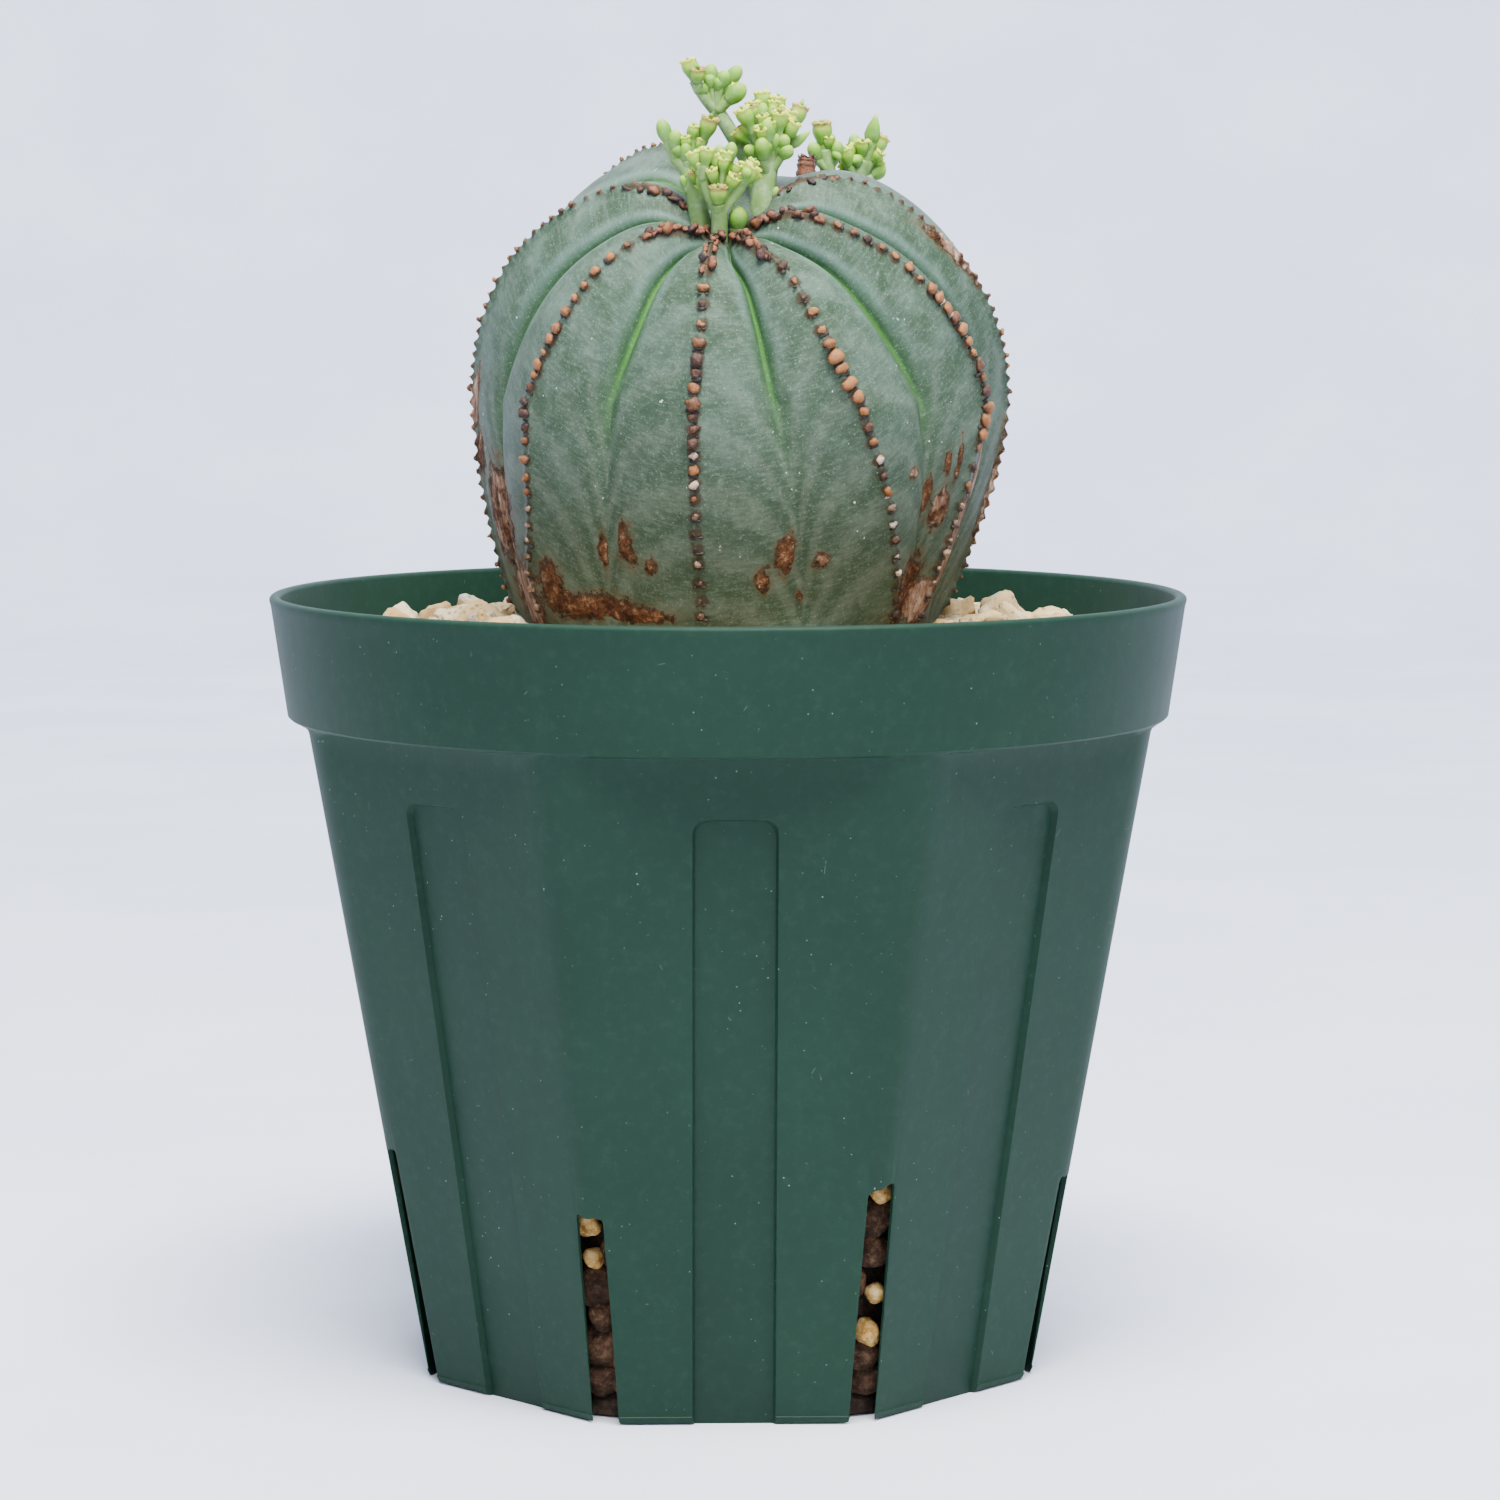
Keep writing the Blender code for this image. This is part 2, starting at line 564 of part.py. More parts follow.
def body_points():
    draw = random.Random(3)
    columns = crest_columns()
    points = []
    for number, row in enumerate(body_rows()):
        for angle, share, rib in columns:
            p = envelope_point(angle, row)
            across = envelope_point(angle + 0.5, row) - envelope_point(angle - 0.5, row)
            down = envelope_point(angle, row + 0.01) - envelope_point(angle, row - 0.01)
            normal = down.cross(across).normalized()
            points.append(tuple(p + normal * relief(share, rib, number, row, p.z, draw)))
    return points, len(columns)


def make_plant(parts):
    points, count = body_points()
    ring_total = len(points) // count
    faces = loft_faces(ring_total, count, closed_ends=False)
    plan = [Vector((x, y, 0.0)) for x, y, _ in points[:count]]
    faces += [tuple(tri) for tri in tessellate_polygon([plan])]
    last = (ring_total - 1) * count
    faces.append(tuple(range(last, last + count)))
    plant = mesh_object("plant_body", points, faces, parts, sharp=50)
    plant.data.materials.append(plant_skin())
    return plant


def tube_rings(points, sides):
    """Rings square to a bent line. Each point holds x, y, z and a radius."""
    line = [Vector(p[:3]) for p in points]
    wide = 1.0 / math.cos(math.pi / sides) ** 0.6
    rings = []
    for k, p in enumerate(line):
        along = (line[min(k + 1, len(line) - 1)] - line[max(k - 1, 0)]).normalized()
        side = along.cross(Vector((0.31, 0.95, 0.05))).normalized()
        other = along.cross(side)
        turn = 2 * math.pi / sides
        rings.append([tuple(p + (side * math.cos(turn * j) + other * math.sin(turn * j))
                            * points[k][3] * wide) for j in range(sides)])
    return rings


def stretch(points, shares):
    """The last two points of a limb, resampled at shares of the way with new radii."""
    (x0, y0, z0, _), (x1, y1, z1, radius) = points[-2], points[-1]
    return [(x0 + (x1 - x0) * t, y0 + (y1 - y0) * t, z0 + (z1 - z0) * t, radius * wide)
            for t, wide in shares]


def limb(name, kind, points, collection):
    """A stem, a bud, a pointed bract or a toothed cup on its neck, as one closed solid."""
    sides = 5
    if kind in ("stem", "stump"):
        profile = list(points)
    elif kind == "bud":
        shares = ((0.15, 0.62), (0.45, 1.0), (0.78, 0.92), (1.0, 0.4))
        profile = list(points[:-1]) + stretch(points, shares)
    elif kind == "bract":
        shares = ((0.35, 1.1), (0.7, 0.8), (1.0, 0.25))
        profile = list(points[:-1]) + stretch(points, shares)
    else:
        sides = 8 if points[-1][3] > 0.8 else 6
        shares = ((0.3, 0.8), (0.75, 1.0), (0.92, 0.85))
        profile = list(points[:-1]) + stretch(points, shares)
    rings = tube_rings(profile, sides)
    if kind == "cup":
        rings += cup_mouth(points, sides)
    solid = [p for one in rings for p in one]
    mesh_object(name, solid, loft_faces(len(rings), sides), collection)


def cup_mouth(points, sides):
    """A rim of teeth, every other one raised, and a sunk middle."""
    tip, radius = Vector(points[-1][:3]), points[-1][3]
    along = (tip - Vector(points[-2][:3])).normalized()
    flare = tube_rings(stretch(points, ((0.5, 1.0), (1.0, 1.2))), sides)[1]
    teeth = []
    for j, p in enumerate(flare):
        lift = 0.28 if j % 2 == 0 else -0.12
        pull = 1.0 if j % 2 == 0 else 0.8
        teeth.append(tuple(tip + (Vector(p) - tip) * pull + along * lift * radius))
    inner = [tuple(tip + (Vector(p) - tip) * 0.5 - along * 0.25 * radius) for p in flare]
    return [teeth, inner]


def make_spray(name, limbs, plant, parts):
    """All the limbs of one stalk joined, cut to the plant's skin and lifted off by the gap."""
    pieces = new_collection(name + "_limbs")
    for k, (kind, *points) in enumerate(limbs):
        limb(f"{name}_{k}", kind, points, pieces)
    first = pieces.objects[0]
    pieces.objects.unlink(first)
    parts.objects.link(first)
    first.name = name
    if len(limbs) > 1:
        use_boolean(first, "UNION", collection=pieces)
    drop_collection(pieces)
    use_boolean(first, "DIFFERENCE", other=plant)
    keep_largest_body(first)
    lift = Vector((0.0, -0.42, 0.9)) if limbs[0][1][1] < 0 else Vector((0.25, 0.35, 0.9))
    for vert in first.data.vertices:
        vert.co += lift * (GAP * 1.15 * MM)
    first.data.shade_smooth()
    first.data.set_sharp_from_angle(angle=math.radians(60))
    first.data.materials.clear()
    first.data.materials.append(dry_cork() if name == "dried_stalk" else stalk_green())
    return first


def main():
    reset_scene()
    parts = new_collection("baseball_plant_in_slit_pot")
    make_pot(parts)
    make_fill(parts)
    make_top_dressing(parts)
    plant = make_plant(parts)
    for name, limbs in SPRAYS.items():
        make_spray(name, limbs, plant, parts)


main()
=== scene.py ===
# %% [markdown]
# # A ribbed globe succulent in its slit pot
#
# This notebook dresses a fixed model of a baseball plant: a grey-green globe whose ribs carry a
# seam of brown cork nubs, with pale flower stalks on its crown, in a dark green slit pot. The
# solids give every size. Here each of them gets the surface that the real one shows. We start by
# loading the solids. They are never moved, only hidden behind a finer piece that fills the same
# place.

# %% Loading the solids
import json
import math
import random

import bmesh
import bpy
import numpy as np
from mathutils import Matrix, Vector
from mathutils.geometry import tessellate_polygon

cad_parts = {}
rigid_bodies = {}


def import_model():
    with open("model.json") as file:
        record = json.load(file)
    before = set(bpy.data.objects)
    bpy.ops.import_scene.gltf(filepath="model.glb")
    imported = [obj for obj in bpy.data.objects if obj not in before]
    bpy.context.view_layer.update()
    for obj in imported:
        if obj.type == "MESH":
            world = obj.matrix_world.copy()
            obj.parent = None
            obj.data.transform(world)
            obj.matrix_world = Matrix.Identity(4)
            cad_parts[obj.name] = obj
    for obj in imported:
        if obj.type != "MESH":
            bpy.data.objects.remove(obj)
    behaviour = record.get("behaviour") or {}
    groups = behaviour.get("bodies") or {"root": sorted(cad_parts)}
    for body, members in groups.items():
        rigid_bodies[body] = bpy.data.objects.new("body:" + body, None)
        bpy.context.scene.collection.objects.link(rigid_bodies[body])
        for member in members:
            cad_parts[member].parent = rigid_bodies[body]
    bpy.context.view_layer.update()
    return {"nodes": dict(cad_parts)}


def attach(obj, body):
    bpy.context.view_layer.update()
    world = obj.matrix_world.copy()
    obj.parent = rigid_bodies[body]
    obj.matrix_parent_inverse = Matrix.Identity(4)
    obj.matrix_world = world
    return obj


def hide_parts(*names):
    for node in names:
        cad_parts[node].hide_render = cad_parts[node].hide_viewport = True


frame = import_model()
MM = 0.001
print("nodes:", ", ".join(sorted(frame["nodes"])))

# %% [markdown]
# ## Writing node trees as Python expressions
#
# Shaders and Geometry Nodes are both trees of nodes joined by links. Adding them by hand takes
# three lines a node, so a small class wraps one output socket and overloads Python's operators: `1
# - mask * 0.5` adds its two Math nodes and the link between them. Every other node comes from one
# method, which is given the node's type, its settings, and the values or links of its inputs.


# %% A socket that does arithmetic
def operator(operation, swapped=False):
    """A method that adds a Math node, its values swapped where a plain number comes first."""

    def method(self, other):
        return self.math(operation, *((other, self) if swapped else (self, other)))

    return method


class Socket:
    """One output of a node. Arithmetic on it adds Math nodes to its tree."""

    def __init__(self, graph, output):
        self.graph, self.output = graph, output

    def __getitem__(self, name):
        return Socket(self.graph, self.output.node.outputs[name])

    def math(self, operation, *values):
        return self.graph.node("ShaderNodeMath", {"operation": operation}, dict(enumerate(values)))

    __add__ = __radd__ = operator("ADD")
    __mul__ = __rmul__ = operator("MULTIPLY")
    __sub__, __rsub__ = operator("SUBTRACT"), operator("SUBTRACT", swapped=True)
    __truediv__, __rtruediv__ = operator("DIVIDE"), operator("DIVIDE", swapped=True)
    __pow__ = operator("POWER")


print("sockets now add Math nodes")


# %% A tree that hands out sockets
def set_stops(ramp, stops):
    while len(ramp.elements) > 1:
        ramp.elements.remove(ramp.elements[-1])
    for k, (position, color) in enumerate(stops):
        stop = ramp.elements[0] if k == 0 else ramp.elements.new(position)
        stop.position = position
        stop.color = (*color, 1.0)


class Graph:
    """A node tree, with one method that adds any node."""

    def __init__(self, tree):
        self.tree = tree

    def node(self, kind, settings=None, inputs=None):
        made = self.tree.nodes.new(kind)
        for name, value in (settings or {}).items():
            if name == "stops":
                set_stops(made.color_ramp, value)
            else:
                setattr(made, name, value)
        for name, value in (inputs or {}).items():
            self.feed(made, name, value)
        shown = [o for o in made.outputs if o.enabled]
        return Socket(self, shown[0]) if shown else made

    def feed(self, made, name, value):
        if isinstance(name, int):
            socket = made.inputs[name]
        else:
            socket = next(s for s in made.inputs if s.enabled and s.name == name)
        if isinstance(value, Socket):
            self.tree.links.new(value.output, socket)
        else:
            socket.default_value = value


print("graphs now hand out sockets")

# %% [markdown]
# ## A material's usual steps
#
# A finish is mostly the same few moves: read a place on the piece, take a noise there, turn a band
# of it into a mask, and mix two colours by that mask. Each move is one short method. Places come
# from Object coordinates or from values stored on the mesh, so a pattern stays where it belongs on
# the piece when the camera moves.


# %% Finish: a material being built
class Finish(Graph):
    """A material's tree, with its shader and the steps that most finishes share."""

    def __init__(self, name, **constants):
        self.material = bpy.data.materials.new(name)
        self.material.use_nodes = True
        super().__init__(self.material.node_tree)
        self.shader = self.tree.nodes["Principled BSDF"]
        for socket, value in constants.items():
            self.shader.inputs[socket.replace("_", " ")].default_value = value
        self.place = self.node("ShaderNodeTexCoord")["Object"]

    def stored(self, name):
        return self.node("ShaderNodeAttribute", {"attribute_name": name})["Fac"]

    def noise(self, size_mm, detail=3.0, rough=0.55, at=None):
        inputs = {"Vector": at or self.place, "Scale": 1.0 / (size_mm * MM),
                  "Detail": detail, "Roughness": rough}
        return self.node("ShaderNodeTexNoise", None, inputs)

    def cells(self, size_mm, feature="F1"):
        inputs = {"Vector": self.place, "Scale": 1.0 / (size_mm * MM)}
        return self.node("ShaderNodeTexVoronoi", {"feature": feature}, inputs)

    def drawn_out(self, share):
        """Object coordinates that draw a pattern out downwards."""
        return self.node("ShaderNodeMapping", None, {"Vector": self.place, "Scale": (1, 1, share)})

    def band(self, value, low, high):
        """0 below low and 1 above high, with a soft step between."""
        inputs = {"Value": value, "From Min": low, "From Max": high}
        return self.node("ShaderNodeMapRange", {"interpolation_type": "SMOOTHSTEP"}, inputs)

    def patchy(self, size_mm, low, high, *texture):
        """A mask of patches, which is a band of a noise."""
        return self.band(self.noise(size_mm, *texture), low, high)

    def mix(self, factor, first, second):
        first, second = [c if isinstance(c, Socket) else (*c, 1.0) for c in (first, second)]
        return self.node("ShaderNodeMix", {"data_type": "RGBA"},
                         {"Factor": factor, "A": first, "B": second})

    def coats(self, color, *layers):
        """Lays further colours over a first one, each through its own mask."""
        for mask, layer in layers:
            color = self.mix(mask, color, layer)
        return color

    def ramp(self, value, stops):
        return self.node("ShaderNodeValToRGB", {"stops": stops}, {"Fac": value})

    def bump(self, height, depth_mm, below=None):
        inputs = {"Height": height, "Distance": depth_mm * MM}
        if below is not None:
            inputs["Normal"] = below
        return self.node("ShaderNodeBump", None, inputs)

    def done(self, color, roughness=None, normal=None):
        for name, value in (("Base Color", color), ("Roughness", roughness), ("Normal", normal)):
            if value is not None:
                self.feed(self.shader, name, value)
        return self.material


print("finishes are ready to be written")

# %% [markdown]
# ## Meshes
#
# Most pieces here follow a rule, so their points come out of numpy arrays: a grid of rows and
# columns, wrapped round once. `ring_faces` joins such a grid into faces. `make_object` turns
# points and faces into an object, and stores any values that the material will want to read, such
# as how far a point is from a rib's crest. Shapes are written in millimetres, and become metres as
# their mesh is made. The camera, the lights and the scatters' noise are written in metres.


# %% Adding, storing and clearing
UP = np.array((0.0, 0.0, 1.0))


def add_object(name, data):
    """An object for a mesh, a camera or a light, linked to the scene."""
    obj = bpy.data.objects.new(name, data)
    bpy.context.scene.collection.objects.link(obj)
    return obj


def store(mesh, name, values, kind="FLOAT"):
    """Stores a number, or a vector, on every point of a mesh."""
    layer = mesh.attributes.new(name, kind, "POINT")
    flat = np.asarray(values, dtype=np.float32).ravel()
    layer.data.foreach_set("value" if kind == "FLOAT" else "vector", flat)


def move_to(obj, group):
    """Takes an object out of the scene and puts it in a collection that isn't shown."""
    bpy.context.scene.collection.objects.unlink(obj)
    group.objects.link(obj)


def discard(group):
    """Removes a collection with everything in it."""
    for obj in list(group.objects):
        bpy.data.objects.remove(obj, do_unlink=True)
    bpy.data.collections.remove(group)


def around(count):
    """The angles of points spaced evenly round a circle."""
    return np.arange(count) * 2 * math.pi / count


print("helpers are ready")


# %% From points to an object
def make_object(name, points, faces, material, stored=None, smooth=True):
    """A mesh object at the origin from points in millimetres."""
    mesh = bpy.data.meshes.new(name)
    mesh.from_pydata((np.asarray(points) * MM).tolist(), [], faces)
    for key, values in (stored or {}).items():
        store(mesh, key, values)
    shell = bmesh.new()
    shell.from_mesh(mesh)
    bmesh.ops.recalc_face_normals(shell, faces=shell.faces)
    shell.to_mesh(mesh)
    shell.free()
    mesh.shade_smooth() if smooth else mesh.shade_flat()
    mesh.materials.append(material)
    return add_object(name, mesh)


def ring_faces(rows, columns, first=0, caps=True):
    """Quads over a wrapped grid, and one face over each end."""
    faces = []
    for r in range(rows - 1):
        a, b = first + r * columns, first + (r + 1) * columns
        faces += [(a + k, a + (k + 1) % columns, b + (k + 1) % columns, b + k)
                  for k in range(columns)]
    if caps:
        last = first + (rows - 1) * columns
        faces += [tuple(range(first, first + columns)), tuple(range(last, last + columns))]
    return faces


def apply_modifiers(obj):
    """Freezes an object's modifiers into a plain mesh."""
    bpy.context.view_layer.update()
    evaluated = obj.evaluated_get(bpy.context.evaluated_depsgraph_get())
    mesh = bpy.data.meshes.new_from_object(evaluated)
    obj.modifiers.clear()
    old, obj.data = obj.data, mesh
    bpy.data.meshes.remove(old)
    mesh.name = obj.name
    return obj


def keep(obj, replaced=()):
    """Every piece rides on the one body, and may stand for solids."""
    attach(obj, "root")
    if replaced:
        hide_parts(*replaced)
    print(f"{obj.name}: {len(obj.data.vertices)} points, {len(obj.data.polygons)} faces")
    return obj


# %% [markdown]
# ## The camera
#
# The photograph was taken from about half a metre away, a little above the plant, with a long
# lens. The camera's place was worked out by matching the pot's rim and base with where the picture
# shows them. It is set first.

# %% Setting the camera
CAMERA_PLACE = (0.009, -0.500, 0.1237)
CAMERA_DOWN, CAMERA_SIDE = 0.106, -0.013
LENS = 104.65


def aim(place, down, side):
    """A camera matrix that looks along +y, turned down and sideways by angles in radians."""
    ahead = Vector((math.sin(side) * math.cos(down), math.cos(side) * math.cos(down),
                    -math.sin(down)))
    right = Vector((math.cos(side), -math.sin(side), 0.0))
    matrix = Matrix((right, right.cross(ahead), -ahead)).transposed().to_4x4()
    matrix.translation = place
    return matrix


lens = bpy.data.cameras.new("camera")
lens.lens, lens.sensor_width, lens.clip_start = LENS, 36.0, 0.01
camera = add_object("camera", lens)
camera.matrix_world = aim(CAMERA_PLACE, CAMERA_DOWN, CAMERA_SIDE)
bpy.context.scene.camera = camera
print("camera", CAMERA_DOWN, "radians down")

# %% [markdown]
# ## The pot's form
#
# A slit pot is moulded in one piece: an eight-sided body that widens upwards, under a round rim.
# Its outline at any height is an octagon whose corners are cut by a circle, so one function of the
# angle gives every ring of the body. A soft minimum rounds the corners as a mould does. Rings
# stacked by height make the outer wall, turn over the lip and go down inside, all one closed skin.

# %% The pot's sizes and outline
POT_HEIGHT, POT_TURN, SIDES = 88.8, 2.0, 8
SHOULDER_Z = 74.2
BASE_APOTHEM, BASE_CORNER = 34.3, 37.1
SHOULDER_APOTHEM, SHOULDER_CORNER = 46.9, 50.1
WALL, FLOOR = 1.6, 1.5
RIM_RADIUS, RIM_FOOT_RADIUS, RIM_FOOT_Z, RIM_STEP = 52.45, 50.4, 75.5, 0.15
LIP, LIP_RISE, SOFTNESS = 1.3, 0.55, 0.35
POT_POINTS = 256


def pot_directions(count):
    angle = np.radians(POT_TURN + np.arange(count) * 360.0 / count)
    return angle, np.stack([np.sin(angle), -np.cos(angle)], -1)


def wall_at(z, inset=0.0):
    t = z / SHOULDER_Z
    return (BASE_APOTHEM + (SHOULDER_APOTHEM - BASE_APOTHEM) * t - inset,
            BASE_CORNER + (SHOULDER_CORNER - BASE_CORNER) * t - inset)


def pot_ring(apothem, corner, z, count=POT_POINTS):
    """A rounded octagon at a height: the softened smaller of a flat side and a circle."""
    angle, out = pot_directions(count)
    step = 2 * math.pi / SIDES
    off = (angle - math.radians(POT_TURN) + step / 2) % step - step / 2
    flat = apothem / np.cos(off)
    radius = -SOFTNESS * np.log(np.exp(-flat / SOFTNESS) + np.exp(-corner / SOFTNESS))
    radius = np.minimum(radius + SOFTNESS * 0.35, np.minimum(flat, corner))
    return np.column_stack([out * radius[:, None], np.full(count, z)])


def round_ring(radius, z):
    _, out = pot_directions(POT_POINTS)
    return np.column_stack([out * radius, np.full(POT_POINTS, z)])


print("pot outline at half height:", [round(v, 1) for v in wall_at(37.0)])


# %% Stacking the pot's rings
# heights of the wall's rings, and how far each lies inside the wall's slope
WALL_LEVELS = ((0.0, 0.45), (0.15, 0.12), (0.45, 0.0), (0.9, -0.12), (1.0, 0.0), (12.0, 0.0),
               (24.0, 0.0), (37.0, 0.0), (50.0, 0.0), (62.0, 0.0), (72.0, 0.0), (SHOULDER_Z, 0.0))
# the ledge that leads out under the rim, as flat side, corner and height
LEDGE = ((47.1, 50.15, 74.6), (47.9, 50.2, 74.85))
RIM_LEVELS, INNER_LEVELS = (75.15, RIM_FOOT_Z, 80.0, 84.0, 87.6), (73.6, 37.0, FLOOR)


def pot_rings():
    """Rings up the outside, over the lip and down the inside."""
    rings = [pot_ring(*wall_at(z, inset), z) for z, inset in WALL_LEVELS]
    rings += [pot_ring(*nub_halo_and_shade) for nub_halo_and_shade in LEDGE] + [round_ring(RIM_FOOT_RADIUS - 0.1, 74.95)]
    slope = (RIM_RADIUS - RIM_FOOT_RADIUS - RIM_STEP) / (POT_HEIGHT - RIM_FOOT_Z)
    rings += [round_ring(RIM_FOOT_RADIUS + RIM_STEP + slope * (z - RIM_FOOT_Z), z)
              for z in RIM_LEVELS]
    middle = RIM_RADIUS - LIP / 2
    for turn in range(0, 181, 20):
        a = math.radians(turn)
        rings.append(round_ring(middle + LIP / 2 * math.cos(a),
                                POT_HEIGHT - LIP_RISE + LIP_RISE * math.sin(a)))
    rings.append(round_ring(RIM_FOOT_RADIUS - 1.1, 75.6))
    return rings + [pot_ring(*wall_at(z, WALL), z) for z in INNER_LEVELS]


print("rings in the pot's skin:", len(pot_rings()))

# %% [markdown]
# ## Cutting the slits and recesses
#
# A slit pot drains through a slot at each corner, and here the slots are taller and shorter in
# turn. Their tops were trimmed by hand, so each cutter's top is a ragged line drawn with a seed.
# The wall looks thin at a slit because it is trimmed away behind the edge, so the cutter flares
# inwards. The long recess on each face has soft walls, and its cutter is narrower inside. One
# Boolean takes the whole collection of cutters away. Two Bevels then round the edges, the sharpest
# first, because moulded plastic has no knife edge and a round edge catches the light.

# %% Cutters for the slits
SLIT_WIDTH, SLIT_HEIGHTS = 3.1, (26.8, 23.6)
SLIT_LEANS = (0.60, 0.15, -0.40, 0.25, -0.20, 0.50, 0.30, -0.15)
# cutters start below the floor, and a slit's outline is widest at its belly
CUTTER_FOOT, BELLY_Z, UPPER_HALF = -3.0, 12.0, 15.0
# layers of a cutter from the inside out: how far behind the skin, the widening, the top's lift
SLIT_LAYERS = ((4.5, 2.2, 1.4), (2.7, 2.2, 1.4), (1.1, 1.0, 0.0), (-12.0, 1.0, 0.0))
cutters = bpy.data.collections.new("cutters")
bpy.context.scene.collection.children.link(cutters)
blank = bpy.data.materials.new("cutter")


def out_and_side(turn):
    """Directions out of the pot and along its skin. Whole turns are faces, halves are corners."""
    a = math.radians(POT_TURN + turn * 360.0 / SIDES)
    return np.array((math.sin(a), -math.cos(a), 0.0)), np.array((math.cos(a), math.sin(a), 0.0))


def add_cutter(name, *outlines):
    """A closed cutter through outlines of equal length, from the inside of the pot outwards."""
    obj = make_object(name, np.vstack(outlines), ring_faces(len(outlines), len(outlines[0])), blank)
    move_to(obj, cutters)
    obj.display_type, obj.hide_render = "WIRE", True


def slit_outline(k, draw):
    half, height, lean = SLIT_WIDTH / 2, SLIT_HEIGHTS[k % 2], SLIT_LEANS[k]
    top = [(x, height + 0.25 + lean * x / half + draw.uniform(-0.16, 0.16))
           for x in np.linspace(half - 0.15, 0.15 - half, 8)]
    return [(-half, CUTTER_FOOT), (half, CUTTER_FOOT), (half + 0.05, BELLY_Z),
            (half, top[0][1] - 0.4), *top, (-half, top[-1][1] - 0.4), (-half - 0.05, BELLY_Z)]


def slit_layer(outline, out, side, behind, flare, lift):
    """The outline at a depth behind the corner's skin, widened by a factor."""
    return [out * (wall_at(max(z, 0.0))[1] - behind) + side * x * flare
            + UP * (z + lift * (z > UPPER_HALF)) for x, z in outline]


draw = random.Random(21)
for k in range(SIDES):
    out, side = out_and_side(k + 0.5)
    outline = slit_outline(k, draw)
    add_cutter(f"slit_{k}", *[slit_layer(outline, out, side, *layer) for layer in SLIT_LAYERS])

# %% Cutters for the recesses
PANEL_WIDTH, PANEL_TOP, PANEL_DEPTH, PANEL_CORNER = 9.1, 68.0, 0.7, 1.6
# the cutter's two outlines: how far each stands out from the face, and how much it shrinks
PANEL_LAYERS = ((-PANEL_DEPTH, 0.28), (3.0, -1.2))


def panel_outline(shrink):
    half, corner, top = PANEL_WIDTH / 2 - shrink, PANEL_CORNER, PANEL_TOP - shrink
    arc = [math.radians(a) for a in range(0, 91, 15)]
    right = [(half - corner + corner * math.cos(a), top - corner + corner * math.sin(a))
             for a in arc]
    left = [(-x, z) for x, z in reversed(right)]
    return [(-half, CUTTER_FOOT), (half, CUTTER_FOOT), *right, *left]


for k in range(SIDES):
    out, side = out_and_side(k)
    add_cutter(f"recess_{k}", *[[out * (wall_at(z)[0] + proud) + side * x + UP * z
                                 for x, z in panel_outline(shrink)]
                                for proud, shrink in PANEL_LAYERS])

# %% [markdown]
# ## The pot's plastic
#
# Up close the plastic is a dark, slightly bluish green with a soft sheen. Handling has left white
# specks of dust, a few short scratches and cloudy patches where it was wiped. Dust comes from tiny
# cells, kept only where a wider noise allows, because dust gathers in drifts. A very fine bump
# breaks the highlight as a textured mould does.


# %% Finish: moulded green plastic
def green_plastic(name="green_plastic", edge=0.0):
    f = Finish(name, Specular_IOR_Level=0.12)
    cloudy, worn = f.noise(26, 4, 0.6), f.noise(5, 5, 0.65, at=f.drawn_out(0.35))
    smudge = f.patchy(11, 0.60, 0.70, 4, 0.7) * f.patchy(3, 0.45, 0.65, 4, 0.7)
    drift, chosen = f.patchy(16, 0.42, 0.72), f.patchy(0.8, 0.60, 0.66, 1)
    specks = (1 - f.band(f.cells(0.75), 0.06, 0.15)) * chosen * (0.20 + drift * 0.80)
    hair = 1 - f.band(f.cells(5, "DISTANCE_TO_EDGE"), 0.0, 0.012)
    dust = specks + hair * f.patchy(2.2, 0.68, 0.73, 2) * 0.25
    film = f.patchy(1.3, 0.45, 0.85, 4, 0.7) * 0.03
    color = f.mix(f.band(cloudy, 0.35, 0.7), (0.0068, 0.0268, 0.0163), (0.0087, 0.0312, 0.0193))
    color = f.coats(color,
                    (f.band(worn, 0.55, 0.85) * 0.16, (0.026, 0.062, 0.045)),
                    (smudge * 0.30, (0.005, 0.022, 0.014)),
                    (dust * 0.50, (0.42, 0.55, 0.50)),
                    # film is a faint patchy haze; edge adds a painted highlight in the same lighter
                    # green on the bevels that use this copy
                    (film + edge, (0.16, 0.32, 0.23)))
    tooth = f.bump(f.noise(0.35, 2), 0.010)
    normal = f.bump(f.noise(9, 2), 0.12, below=tooth)
    return f.done(color, 0.46 + cloudy * 0.16 + dust * 0.3, normal)


# the second copy paints a lighter green on the sharpest bevels: a painted highlight where those edges
# catch the light
plastic, edge_highlight_plastic = green_plastic(), green_plastic("trimmed_plastic", edge=0.60)
print("plastic nodes:", len(plastic.node_tree.nodes))

# %% Moulding and cutting the pot
# bevels by name: width in mm, the least turn in degrees of the edges they take, material slot
# slot 1 holds the copy of the plastic with the painted edge highlight
BEVELS = (("trim", 0.24, 78, 1), ("edge", 0.14, 55, 0))
SMOOTH_BELOW = 32
rings = pot_rings()
pot_shell = make_object("pot_shell", np.vstack(rings), ring_faces(len(rings), POT_POINTS), plastic)
cut = pot_shell.modifiers.new("cut", "BOOLEAN")
cut.operation, cut.solver = "DIFFERENCE", "MANIFOLD"
cut.operand_type, cut.collection = "COLLECTION", cutters
apply_modifiers(pot_shell)
discard(cutters)
pot_shell.data.materials.clear()
for material in (plastic, edge_highlight_plastic):
    pot_shell.data.materials.append(material)
for name, width, least_turn, slot in BEVELS:
    edge = pot_shell.modifiers.new(name, "BEVEL")
    edge.width, edge.segments, edge.material = width * MM, 2, slot
    edge.limit_method, edge.angle_limit = "ANGLE", math.radians(least_turn)
    apply_modifiers(pot_shell)
pot_shell.data.shade_smooth()
pot_shell.data.set_sharp_from_angle(angle=math.radians(SMOOTH_BELOW))
keep(pot_shell, ("pot",))

